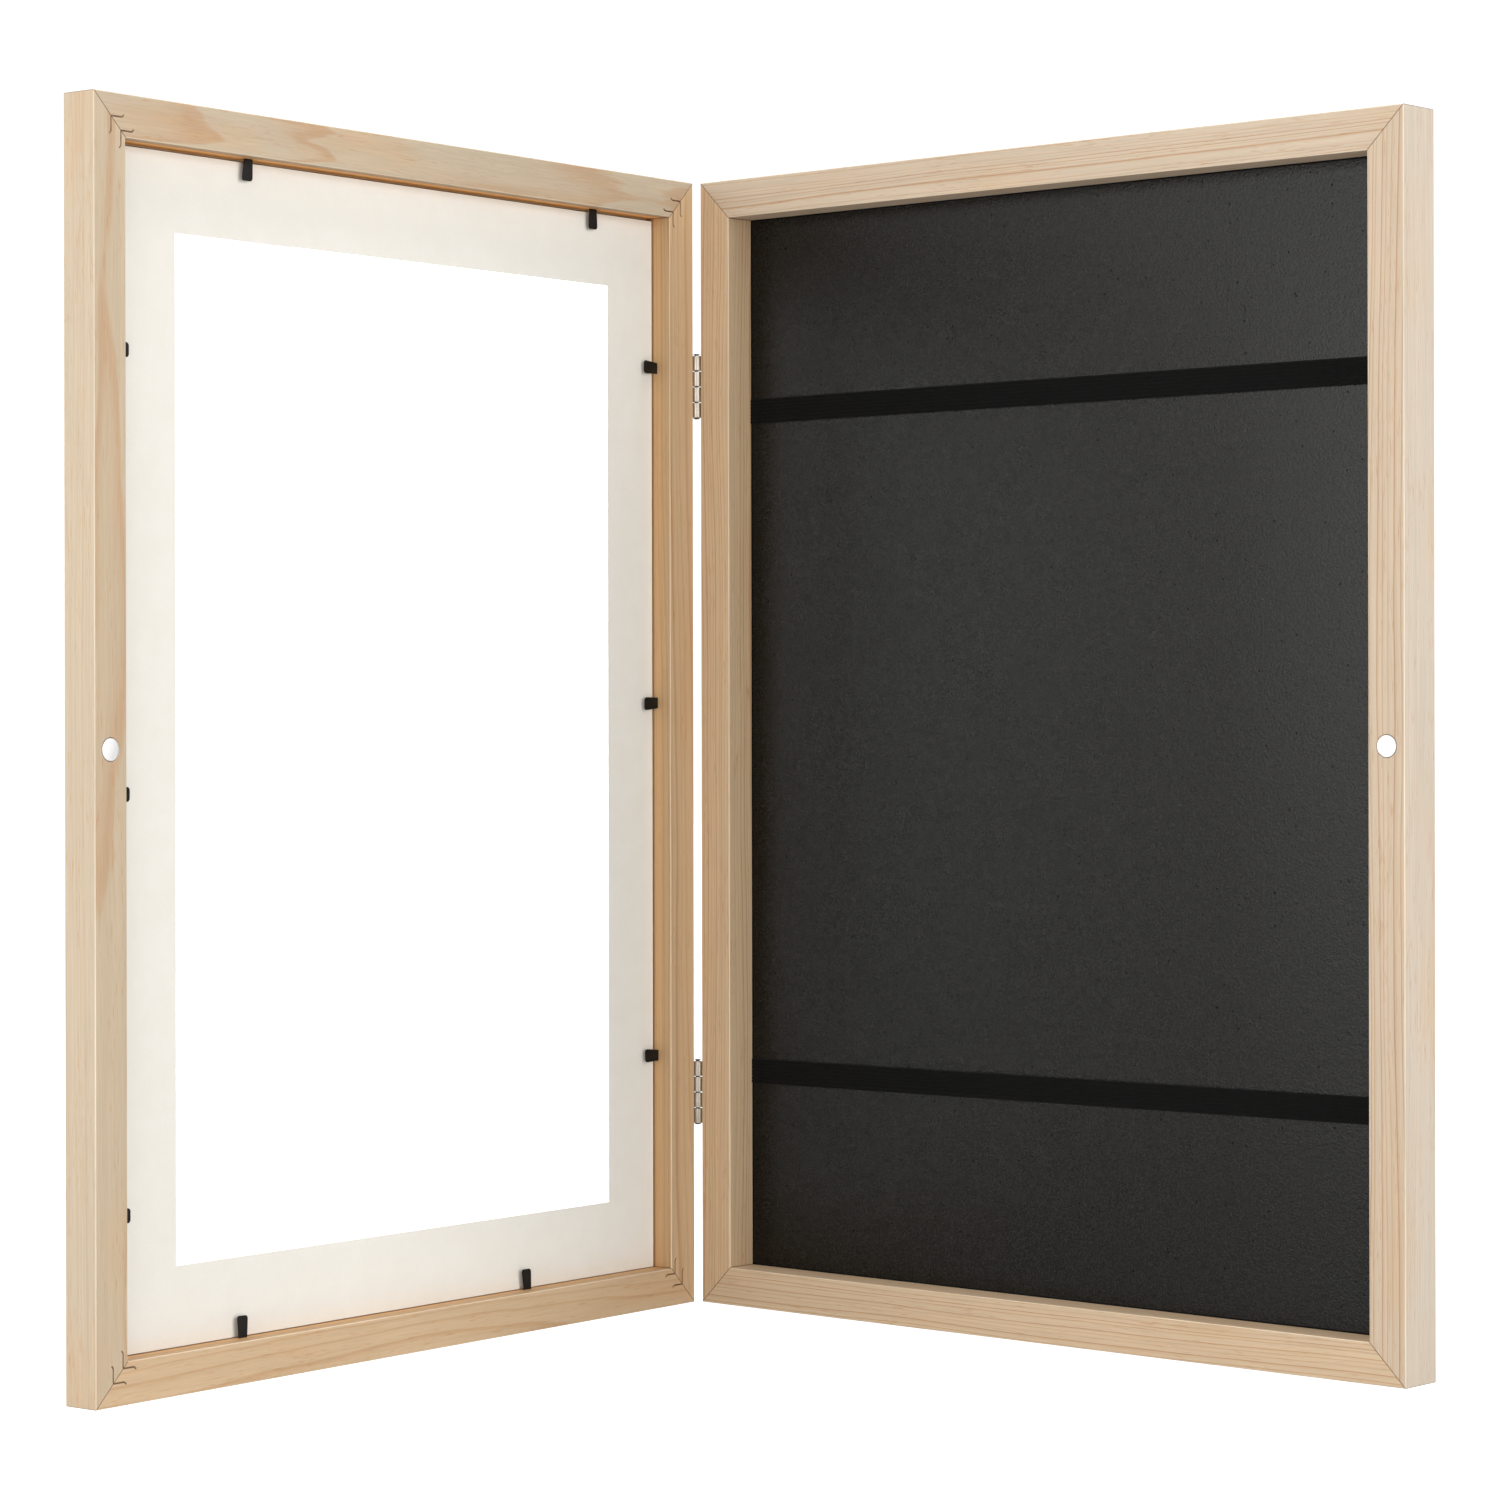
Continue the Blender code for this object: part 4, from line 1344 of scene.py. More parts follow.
@dataclass
class Magnet:
    """Disc magnet, flush in the free stile at mid height."""

    half: Half
    diameter: float = 0.010
    thickness: float = 0.003
    edge: float = 0.0003
    ring: float = 0.0003
    sides: int = 72

    def _seat(self) -> Matrix:
        """Placement of the disc, its axis running into the wood as the third one."""
        spot = self.half.on(Side.FREE, 1 / 2, self.half.size.face / 2)
        return spot @ Matrix.Rotation(math.radians(-90 * self.half.way), 4, "X")

    def shell(self) -> Shell:
        """Disc with its rims rounded by two small slopes.

        Returns:
            The closed shell at rest.
        """
        radius, back = self.diameter / 2, self.thickness
        rim = self.edge * np.array(((1, 0), (0.35, 0.2), (0, 0.6)))
        front = np.column_stack((radius - rim[:, 0], rim[:, 1]))
        rear = np.column_stack((radius - rim[::-1, 0], back - rim[::-1, 1]))
        return lofted(turned(np.concatenate((front, rear)), self.sides)).moved(self._seat())

    def bore(self) -> Shell:
        """Hole for the disc, a little wider, with a broken edge at its mouth.

        Returns:
            The closed shell at rest.
        """
        radius = self.diameter / 2 + self.ring
        stations = np.array(((radius + self.ring * 6, -self.ring * 6), (radius, self.ring), (radius, self.thickness)))
        return lofted(turned(stations, self.sides)).moved(self._seat())

    def build(self, shop: Workshop) -> None:
        """Makes the disc."""
        node = f"{self.half.body}_magnet"
        shop.piece(self.half, f"{node}_disc", self.shell(), "magnet", Slot.MAGNET_NICKEL, (node,))


@dataclass
class VNails:
    """Two V-shaped nails across each mitre of the door, flush with its inner face."""

    half: Half
    shares: tuple[float, float] = (0.54, 0.85)
    leg: float = 0.0066
    tip: float = 0.0016
    tip_angle: float = 40.0
    depth: float = 0.007
    thickness: float = 0.0006
    bend: float = 0.0007
    play: float = 0.00008
    apex_share: float = 0.65

    def path(self, distance: float) -> Array:
        """Middle line of a nail: two legs square to each other, their ends curled outwards.

        Args:
            distance: distance of the apex from both outer edges.

        Returns:
            Rows of the two coordinates along the mouldings, every bend rounded.
        """
        angle = math.radians(self.tip_angle)
        run, rise = self.tip * math.cos(angle), self.tip * math.sin(angle)
        end = distance + self.leg
        points = np.array(((end + run, distance - rise), (end, distance), (distance, distance), (distance, end),
                           (distance - rise, end + run)))
        radii = np.array((self.bend, self.bend, self.bend * self.apex_share, self.bend, self.bend))
        rounded = filleted(points, radii, 5)[6:-6]
        return np.concatenate((points[:1], rounded, points[-1:]))

    def shell(self, corner: Corner, distance: float, grow: float, top: float) -> Shell:
        """Strip carried along the nail's middle line.

        Args:
            corner: the corner of the door.
            distance: distance of the apex from both outer edges.
            grow: how much wider than the nail, on each side.
            top: how far it stands above the face.

        Returns:
            The closed shell at rest.
        """
        half, slope = self.thickness / 2 + grow, self.thickness / 5
        section = np.array(((-half, -self.depth - grow), (half, -self.depth - grow), (half, top - slope),
                            (half - slope, top), (slope - half, top), (-half, top - slope)))
        rings = strip(self.path(distance), section)
        rings = rings[..., [0, 2, 1]] * np.array((1, -self.half.way, 1))
        return lofted(rings).moved(self.half.corner(corner))

    def _distances(self) -> tuple[tuple[str, float], ...]:
        """The outer and the inner nail, with the distance of its apex from the outer edges."""
        return tuple((kind, self.half.size.face * share) for kind, share in zip(("outer", "inner"), self.shares))

    def slots(self, side: Side) -> tuple[Shell, ...]:
        """The slots of the nails that cross one moulding.

        Args:
            side: the moulding.

        Returns:
            A tuple with one shell that holds them all.
        """
        ends = {
            Side.BOTTOM: (Corner.BOTTOM_HINGE, Corner.BOTTOM_FREE),
            Side.TOP: (Corner.TOP_HINGE, Corner.TOP_FREE),
            Side.HINGE: (Corner.BOTTOM_HINGE, Corner.TOP_HINGE),
            Side.FREE: (Corner.BOTTOM_FREE, Corner.TOP_FREE),
        }[side]
        slots = [self.shell(corner, distance, self.play, self.thickness) for corner in ends
                 for _, distance in self._distances()]
        return (joined(slots),)

    def build(self, shop: Workshop) -> None:
        """Makes the eight nails.

        Args:
            shop: the workshop.
        """
        for corner in Corner:
            for kind, distance in self._distances():
                node = f"v_nail_{corner.value}_{kind}"
                shop.piece(self.half, f"{node}_steel", self.shell(corner, distance, 0, 0), "nail",
                           Slot.NAIL_STEEL, (node,))


@dataclass
class Tongues:
    """Small thin points driven into a rebate wall, such as those over the mat.

    Attributes:
        half: the box or the door.
        label: first part of the names of the CAD nodes.
        word: last part of the names of the pieces.
        finish: short name of the finish.
        slot: the record's slot.
        rows: shares of the length for each moulding.
        wall: distance of the rebate wall from the outer edge.
        depth: depth of the middle of the sheet.
        length: free length.
        root: length in the wood.
        width: width at the root.
        tip_width: width at the tip.
        thickness: thickness of the sheet.
        tip_radius: radius of the tip's corners.
        lift: how far the tip bends towards the inner face.
        lean: how far the tips lean sideways along the moulding, one after another to either side.
    """

    half: Half
    label: str
    word: str
    finish: str
    slot: Slot
    rows: dict[Side, tuple[float, ...]]
    wall: float
    depth: float
    length: float
    root: float
    width: float
    tip_width: float
    thickness: float
    tip_radius: float
    lift: float = 0.0
    lean: float = 0.0

    def shell(self, where: Matrix, lean: float) -> Shell:
        """Chamfered bars along the length.

        The half width goes from root to tip as a straight line. Within the tip's radius r it
        falls by r - sqrt(r^2 - s^2), with s the distance past the arc's centre. The sheet
        lifts with the square of the share of the free length, and leans with the share.

        Args:
            where: placement of the middle of the root on the wall.
            lean: how far the tip leans sideways.

        Returns:
            The closed shell at rest.
        """
        centre = self.length - self.tip_radius
        bend = np.sin(np.linspace(0, np.pi / 2, 8)) * self.tip_radius
        z = np.concatenate(((-self.root,), np.linspace(0, centre, 9)[:-1], centre + bend))
        share = np.clip(z / self.length, 0, 1)
        width = (self.width + (self.tip_width - self.width) * share) / 2
        fall = self.tip_radius - np.sqrt(np.clip(self.tip_radius**2 - np.clip(z - centre, 0, None)**2, 0, None))
        rings = bars(width - fall, self.thickness, self.thickness / 5)
        depth = self.depth - self.lift * share**2
        rows = np.stack((rings[..., 0] + lean * share[:, None], self.half.way * (depth[:, None] + rings[..., 1]),
                         np.broadcast_to(z[:, None], rings.shape[:2])), axis=-1)
        return lofted(rows).moved(where)

    def build(self, shop: Workshop) -> None:
        """Makes all of them.

        Args:
            shop: the workshop.
        """
        turn = 0
        for side, shares in self.rows.items():
            for number, share in enumerate(shares, 1):
                turn += 1
                node = f"{self.label}_{side.value}_{number}"
                where = self.half.on(side, share, self.wall)
                shop.piece(self.half, f"{node}_{self.word}", self.shell(where, self.lean * math.sin(2.4 * turn)),
                           self.finish, self.slot, (node,))


@dataclass
class Straps:
    """Two ribbed elastic straps across the board, their ends tucked behind the stiles' lips."""

    half: Half
    width: float = 0.0125
    thickness: float = 0.0012
    tuck: float = 0.0055
    shares: tuple[float, float] = (0.2088, 0.7965)
    rises: tuple[float, float] = (0.0025, 0.0009)
    squeeze: float = 0.0007
    squeeze_reach: float = 0.006
    ribs: int = 7
    rib_depth: float = 0.0003
    rib_points: int = 8

    def shell(self, height: float, rise: float) -> Shell:
        """Ribbed section carried across, pressed flatter where the ends go behind the lips.

        The front falls from a crest by the rib's depth times 1 - sqrt(|sin(pi n s)|), with n
        ribs and s the share of the width. The back is flat. The height grows in a straight
        line, and the front sinks smoothly over the last stretch before each wall.

        Args:
            height: height of the strap's middle.
            rise: how much higher the end at the free stile is than the other end.

        Returns:
            The closed shell at rest.
        """
        share = np.linspace(0, 1, self.ribs * self.rib_points + 1)
        fall = self.rib_depth * (1 - np.sqrt(np.abs(np.sin(np.pi * self.ribs * share))))
        lip = self.half.size.box_lip
        front = np.column_stack((self.half.y(lip - self.thickness + fall), height + (share - 0.5) * self.width))
        back = front[[-1, 0]] * np.array((0, 1)) + np.array((self.half.y(lip), 0))
        section = np.concatenate((front, back))
        wall = self.half.size.width / 2 - self.half.size.face
        near = wall - np.linspace(self.squeeze_reach, 0, 9)
        x = np.concatenate(((-wall - self.tuck,), -near[::-1], np.linspace(-near[0], near[0], 31)[1:-1], near,
                            (wall + self.tuck,)))
        pressed = smooth((np.abs(x) - near[0]) / self.squeeze_reach) * self.squeeze
        y = section[:, 0] + pressed[:, None] * np.append(np.ones(len(front)), (0, 0))
        z = section[:, 1] + x[:, None] / (2 * wall) * rise
        return lofted(np.stack((np.broadcast_to(x[:, None], y.shape), y, z), axis=-1))

    def build(self, shop: Workshop) -> None:
        """Makes both straps.

        Args:
            shop: the workshop.
        """
        for node, share, rise in zip(("strap_lower", "strap_upper"), self.shares, self.rises):
            shop.piece(self.half, f"{node}_webbing", self.shell(self.half.size.height * share, rise), "elastic",
                       Slot.ELASTIC, (node,), sharp=60)


@dataclass
class Board:
    """Board in the rear rebate of the box: dark paper to the front, fibreboard behind."""

    half: Half
    thickness: float = 0.003
    play: float = 0.0007
    edge: float = 0.00015

    def build(self, shop: Workshop) -> None:
        """Makes the board, and gives its front face the paper.

        Args:
            shop: the workshop.
        """
        size = self.half.size
        margin = size.face - size.box_rebate + self.play
        side = size.width / 2 - margin
        outline = np.array(((-side, margin), (side, margin), (side, size.height - margin),
                            (-side, size.height - margin)))
        front = self.half.y(size.box_lip + size.touch)
        rings = plate(outline, front, front + self.thickness, self.edge)[..., [0, 2, 1]]
        made = shop.piece(self.half, "back_board_panel", lofted(rings), "fibreboard", Slot.BOARD_PAPER,
                          ("back_board",))
        made.data.materials.append(shop.palette["paper"])
        normals = np.empty(len(made.data.polygons) * 3)
        made.data.polygons.foreach_get("normal", normals)
        paper = normals.reshape(-1, 3)[:, 1] < -0.9
        made.data.polygons.foreach_set("material_index", paper.astype(np.int32))


@dataclass
class Window:
    """The clear sheet and the mat board of the door."""

    half: Half
    sheet: float = 0.002
    sheet_play: float = 0.0008
    mat: float = 0.0015
    mat_play: float = 0.0009
    hinge_border: float = 0.0354
    free_border: float = 0.0398
    top_border: float = 0.0356
    bottom_border: float = 0.0361
    edge: float = 0.0001

    def sheet_depth(self) -> float:
        """Depth of the sheet's rear face, the one towards the mat."""
        size = self.half.size
        return size.door_depth - size.door_lip - size.touch - self.sheet

    def mat_depth(self) -> float:
        """Depth of the mat's rear face, the one towards the box."""
        return self.sheet_depth() - self.half.size.touch - self.mat

    def _rectangles(self, low: Array, high: Array, depth: Array) -> Array:
        """Rings of four corners, each a rectangle at one depth.

        Args:
            low: rows of lowest X and Z.
            high: rows of highest X and Z.
            depth: depth of each ring.

        Returns:
            Array of ring, corner and coordinate, with the door closed.
        """
        x = np.stack((low[:, 0], high[:, 0], high[:, 0], low[:, 0]), axis=1)
        z = np.stack((low[:, 1], low[:, 1], high[:, 1], high[:, 1]), axis=1)
        y = np.broadcast_to((self.half.face + self.half.way * depth)[:, None], x.shape)
        return np.stack((x, y, z), axis=-1)

    def sheet_shell(self) -> Shell:
        """Plain sheet with its edges broken.

        Returns:
            The closed shell at rest.
        """
        size = self.half.size
        margin = size.face + self.sheet_play
        pull = np.array((self.edge, 0, 0, self.edge))[:, None]
        low = np.array((margin - size.width / 2, margin)) + pull
        high = np.array((size.width / 2 - margin, size.height - margin)) - pull
        back = self.sheet_depth()
        depth = np.array((back, back + self.edge, back + self.sheet - self.edge, back + self.sheet))
        return lofted(self._rectangles(low, high, depth)).moved(self.half.rest)

    def mat_shell(self) -> Shell:
        """Card around the window.

        Its section runs round the card: rear face, outer edge, front face, then the bevel,
        which opens at 45 degrees towards the front. Each row of the section gives how far it
        goes from the outer rectangle to the window, how much it is pulled in, and its depth.

        Returns:
            The closed shell at rest.
        """
        size = self.half.size
        side = size.width / 2 - size.face - self.mat_play
        bottom = size.face + size.touch
        top = bottom + size.height - 2 * (size.face + self.mat_play)
        outer = np.array(((-side, bottom), (side, top)))
        window = np.array(((self.hinge_border - side, bottom + self.bottom_border),
                           (side - self.free_border, top - self.top_border)))
        back, front, edge = self.mat_depth(), self.mat_depth() + self.mat, self.edge
        rows = np.array((
            (0, edge, back), (0, 0, back + edge), (0, 0, front - edge), (0, edge, front),
            (1, -self.mat - edge, front), (1, -self.mat, front - edge / 2),
            (1, -edge / 2, back + edge / 2), (1, -edge, back),
        ))
        share, pull, depth = rows[:, :1], rows[:, 1:2], rows[:, 2]
        low = outer[0] + share * (window[0] - outer[0]) + pull
        high = outer[1] + share * (window[1] - outer[1]) - pull
        return lofted(self._rectangles(low, high, depth), loop=True).moved(self.half.rest)

    def build(self, shop: Workshop) -> None:
        """Makes the sheet and the mat."""
        shop.piece(self.half, "clear_sheet_pane", self.sheet_shell(), "clear", Slot.ACRYLIC, ("clear_sheet",))
        shop.piece(self.half, "mat_board_card", self.mat_shell(), "card", Slot.MAT_CARD, ("mat_board",))


@dataclass
class Hinges:
    """Two butt hinges: leaves rolled from sheet, pins with domed heads, and crossed screws."""

    box: Half
    door: Half
    length: float = 0.03175
    shares: tuple[float, float] = (0.1876, 0.8183)
    offset: float = 0.0025
    barrel: float = 0.00242
    leaf: float = 0.0009
    reach: float = 0.014
    start: float = 0.0027
    corner: float = 0.002
    knuckles: int = 4
    sheet_share: float = 0.96
    wrap: float = 282.0
    seam: float = 0.0006
    pin: float = 0.001
    pin_head: float = 0.0017
    pin_head_height: float = 0.0006
    screw: float = 0.0011
    screw_length: float = 0.010
    screw_head: float = 0.0021
    screw_head_height: float = 0.0006
    screw_inset: float = 0.006375
    cross_arm: float = 0.0013
    cross_width: float = 0.00034
    cross_depth: float = 0.00045
    edge: float = 0.00015

    def _axis(self) -> tuple[float, float]:
        """X and Y of the pin."""
        size = self.box.size
        return -size.width / 2 - self.offset, self.box.face - size.face_gap / 2

    def knuckle(self, half: Half, height: float, number: int) -> Shell:
        """One knuckle: the leaf's sheet carried from the leaf round the pin.

        The sheet's middle line leaves the leaf, meets the barrel's circle as a tangent, and
        goes round it until it almost meets itself.

        Args:
            half: the half that the leaf is on.
            height: height of the hinge's middle.
            number: number of the knuckle, from the bottom.

        Returns:
            The closed shell at rest.
        """
        touch, sheet = half.size.touch, self.leaf * self.sheet_share
        middle = self.barrel - self.leaf / 2
        lead = np.array((touch + self.leaf / 2, self.start + self.leaf / 4))
        centre = np.array((self.offset, 0))
        away = lead - centre
        tangent = math.atan2(away[1], away[0]) + math.acos(middle / np.linalg.norm(away))
        angle = np.linspace(tangent, tangent + math.radians(self.wrap), 40)
        around = centre + middle * np.column_stack((np.cos(angle), np.sin(angle)))
        path = np.concatenate(((lead + np.array((0, self.leaf)),), (lead,), around))
        pitch = (self.length + touch) / self.knuckles
        low = height - self.length / 2 + number * pitch
        high = low + pitch - self.seam
        bevel, side = self.edge, sheet / 2
        section = np.array(((-side, low + bevel), (bevel - side, low), (side - bevel, low), (side, low + bevel),
                            (side, high - bevel), (side - bevel, high), (bevel - side, high), (-side, high - bevel)))
        rings = strip(path, section)
        away, along, z = rings[..., 0], rings[..., 1], rings[..., 2]
        x = -half.size.width / 2 - away
        y = self._axis()[1] + half.way * along
        return lofted(np.stack((x, y, z), axis=-1)).moved(half.rest)

    def leaf_plate(self, half: Half, height: float) -> Shell:
        """Flat part of a leaf on the side of the stile, its far corners rounded.

        Args:
            half: the half that the leaf is on.
            height: height of the hinge's middle.

        Returns:
            The closed shell at rest.
        """
        y = self._axis()[1]
        near, far = y + half.way * self.start, y + half.way * self.reach
        low, high = height - self.length / 2, height + self.length / 2
        corners = np.array(((near, low), (far, low), (far, high), (near, high)))
        outline = filleted(corners, np.array((self.edge, self.corner, self.corner, self.edge)), 6)
        outer = -half.size.width / 2 - half.size.touch
        return lofted(plate(outline, outer - self.leaf, outer, self.edge)[..., [2, 0, 1]]).moved(half.rest)

    def screw_shell(self, half: Half, height: float, turn: float) -> Shell:
        """Low domed screw with a crossed recess.

        Rings run from the middle of the head to the tip. Over the head the height is that of
        a dome, less the recess: its depth times a smooth mask of the two arms, which is 1
        where one of the two distances from the arms' middle lines is under half their width
        and the other under their length.

        Args:
            half: the half that the leaf is on.
            height: height of the screw.
            turn: turn of the recess in degrees.

        Returns:
            The closed shell at rest.
        """
        seat = half.size.touch + self.leaf + half.size.touch
        sides = 96
        radius = np.linspace(0.02, 1, 34) * self.screw_head
        dome = seat + self.screw_head_height * np.sqrt(np.clip(1 - (radius / self.screw_head * 0.93)**2, 0, 1))
        below = np.array(((self.screw_head, seat + 0.0001), (self.screw_head * 0.96, seat), (self.screw, seat - 0.0002),
                          (self.screw, -self.screw_length * 0.8), (self.screw * 0.15, -self.screw_length)))
        rings = turned(np.concatenate((np.column_stack((radius, dome)), below)), sides)
        u, v = np.abs(rings[:len(radius), :, 0]), np.abs(rings[:len(radius), :, 1])
        narrow, long = np.minimum(u, v), np.maximum(u, v)
        soft = self.cross_width / 2
        mask = smooth((self.cross_width - narrow) / soft + 0.5) * smooth((self.cross_arm - long) / soft + 0.5)
        rings[:len(radius), :, 2] -= self.cross_depth * mask
        reach = (self.start + self.reach) / 2
        y = self._axis()[1] + half.way * reach
        where = half.place(-half.size.width / 2, y, height) @ Matrix.Rotation(math.radians(-90), 4, "Y")
        return lofted(rings).moved(where @ Matrix.Rotation(math.radians(turn), 4, "Z"))

    def pin_shell(self, height: float) -> Shell:
        """Straight pin with a domed head at both ends.

        Args:
            height: height of the hinge's middle.

        Returns:
            The closed shell at rest.
        """
        end = self.length / 2 + self.box.size.touch
        top = domed(self.pin_head, self.pin_head_height) + np.array((0, end))
        rows = np.concatenate((((self.pin, end), (self.pin_head, end)), top))
        stations = np.concatenate((rows[::-1] * np.array((1, -1)), rows))
        return lofted(turned(stations, 40)).moved(Matrix.Translation((*self._axis(), height)))

    def build(self, shop: Workshop) -> None:
        """Makes the leaves, the screws and the pins of both hinges.

        Args:
            shop: the workshop.
        """
        for label, share in zip(("hinge_lower", "hinge_upper"), self.shares):
            height = self.box.size.height * share
            for first, half in enumerate((self.door, self.box)):
                parts = [self.knuckle(half, height, number) for number in range(first, self.knuckles, 2)]
                leaf = f"{label}_{half.body}_leaf"
                shop.piece(half, f"{leaf}_plate", joined(parts + [self.leaf_plate(half, height)]), "hinge",
                           Slot.HINGE_NICKEL, (leaf,))
                rise = self.length / 2 - self.screw_inset
                for number, side in enumerate((-1, 1), 1):
                    screw = f"{label}_{half.body}_screw_{number}"
                    turn = 23 + 31 * number + 47 * first
                    shop.piece(half, f"{screw}_turned", self.screw_shell(half, height + side * rise, turn), "hinge",
                               Slot.HINGE_NICKEL, (screw,), sharp=50)
            pin = f"{label}_pin"
            shop.piece(self.box, f"{pin}_turned", self.pin_shell(height), "pin", Slot.HINGE_NICKEL, (pin,))


@dataclass
class WallHanger:
    """Sawtooth hanger on the back of the box's top rail, with two nails."""

    half: Half
    length: float = 0.045
    height: float = 0.0075
    thickness: float = 0.0008
    rise: float = 0.0012
    foot: float = 0.009
    ramp: float = 0.002
    teeth: int = 9
    tooth: float = 0.0014
    round_end: float = 0.0012
    nail: float = 0.0008
    nail_length: float = 0.009
    nail_head: float = 0.0018
    nail_head_height: float = 0.0007

    def _base(self) -> float:
        """Height of the hanger's lower edge."""
        size = self.half.size
        return size.height - (size.face - size.box_rebate) / 2 - self.height / 2

    def _seat(self) -> float:
        """Y of the hanger's face on the wood."""
        return self.half.y(self.half.size.box_depth) + self.half.size.touch

    def shell(self) -> Shell:
        """Chamfered bar along the hanger.

        Between the ramps it stands off the wood by a smooth step. Its lower edge goes up and
        down as a triangle wave of the teeth, and its ends are rounded.

        Returns:
            The closed shell at rest.
        """
        end = self.length / 2
        foot = end - self.foot
        flat = foot - self.ramp
        round_end = self.round_end
        bend = end - round_end * (1 - np.sin(np.linspace(0, np.pi / 2, 5)))
        ramp = np.linspace(flat, foot, 7)
        saw = np.linspace(-flat, flat, self.teeth * 6 + 1)
        x = np.concatenate((-bend[::-1], -ramp[::-1][:-1], saw, ramp[1:], bend))
        lift = self.rise * smooth((foot - np.abs(x)) / self.ramp)
        wave = np.abs((x + flat) / (2 * flat) * self.teeth % 1 - 0.5) * 2
        cut = self.tooth * np.where(np.abs(x) < flat, 1 - wave, 0)
        over = np.clip(np.abs(x) - (end - round_end), 0, round_end)
        pull = round_end - np.sqrt(np.clip(round_end**2 - over**2, 0, None))
        low, high = self._base() + cut + pull, self._base() + self.height - pull
        rings = bars((high - low) / 2, self.thickness, self.thickness / 5)
        middle = self._seat() + lift + self.thickness / 2
        rows = np.stack((np.broadcast_to(x[:, None], rings.shape[:2]), middle[:, None] + rings[..., 1],
                         ((high + low) / 2)[:, None] + rings[..., 0]), axis=-1)
        return lofted(rows)

    def nail_shell(self, x: float) -> Shell:
        """Round nail with a low domed head.

        Args:
            x: place of the nail across the box.

        Returns:
            The closed shell at rest.
        """
        head = self._seat() + self.thickness + self.half.size.touch
        shank = np.array(((self.nail / 4, -self.nail_length - self.nail), (self.nail, -self.nail_length),
                          (self.nail, 0), (self.nail_head, 0)))
        stations = np.concatenate((shank, domed(self.nail_head, self.nail_head_height)))
        where = Matrix.Translation((x, head, self._base() + self.height / 2)) @ Matrix.Rotation(-math.pi / 2, 4, "X")
        return lofted(turned(stations, 36)).moved(where)

    def build(self, shop: Workshop) -> None:
        """Makes the hanger and its nails.

        Args:
            shop: the workshop.
        """
        shop.piece(self.half, "wall_hanger_plate", self.shell(), "zinc", Slot.ZINC, ("wall_hanger",))
        offset = self.length / 2 - self.foot / 2
        for node, x in zip(("hanger_nail_left", "hanger_nail_right"), (-offset, offset)):
            shop.piece(self.half, f"{node}_turned", self.nail_shell(x), "zinc", Slot.ZINC, (node,))


# ---------------------------------------------------------------- the two halves


class Box:
    """The box: mouldings, board, straps, magnet, fixing points and hanger."""

    CUTS = {
        Side.BOTTOM: Cut(across=0.050, depth=0.030, shift=0.3, drift=(0.006, 0.004),
                         tone=0.65, side_tone=0.3),
        Side.TOP: Cut(across=0.062, depth=0.044, shift=1.4, drift=(-0.005, 0.006),
                      tone=0.32, side_tone=0.3),
        Side.HINGE: Cut(across=0.046, depth=0.038, shift=2.7, drift=(0.003, -0.004),
                        tone=0.82, side_tone=0.7),
        Side.FREE: Cut(across=0.031, depth=0.052, shift=4.1, drift=(0.002, 0.003),
                       tone=0.34, side_tone=0.0),
    }

    def __init__(self, half: Half) -> None:
        """Sets up the sub-assemblies on the half.

        Args:
            half: the half that they are on.
        """
        size = half.size
        wall = size.face - size.box_rebate
        small = size.inner_arris
        corners = ((0, 0, size.arris), (size.face, 0, size.arris), (size.face, size.box_lip, small),
                   (wall, size.box_lip, small), (wall, size.box_depth, small), (0, size.box_depth, size.arris))
        self.mouldings = Mouldings(half, "box_pine", Slot.BOX_PINE, corners, self.CUTS)
        self.board = Board(half)
        self.straps = Straps(half)
        self.magnet = Magnet(half)
        self.hanger = WallHanger(half)
        thickness = 0.0008
        self.points = Tongues(
            half, "board_point", "steel", "zinc", Slot.ZINC,
            {Side.HINGE: (0.25, 0.75), Side.FREE: (0.25, 0.75), Side.TOP: (0.5,), Side.BOTTOM: (0.5,)},
            wall=wall, depth=size.box_lip + 2 * size.touch + self.board.thickness + thickness / 2,
            length=0.007, root=0.004, width=0.005, tip_width=0.005, thickness=thickness, tip_radius=0.0008)

    def build(self, shop: Workshop) -> None:
        """Makes every piece of the box.

        Args:
            shop: the workshop.
        """
        self.mouldings.build(shop, {Side.FREE: (self.magnet.bore(),)})
        self.board.build(shop)
        self.straps.build(shop)
        self.magnet.build(shop)
        self.points.build(shop)
        self.hanger.build(shop)


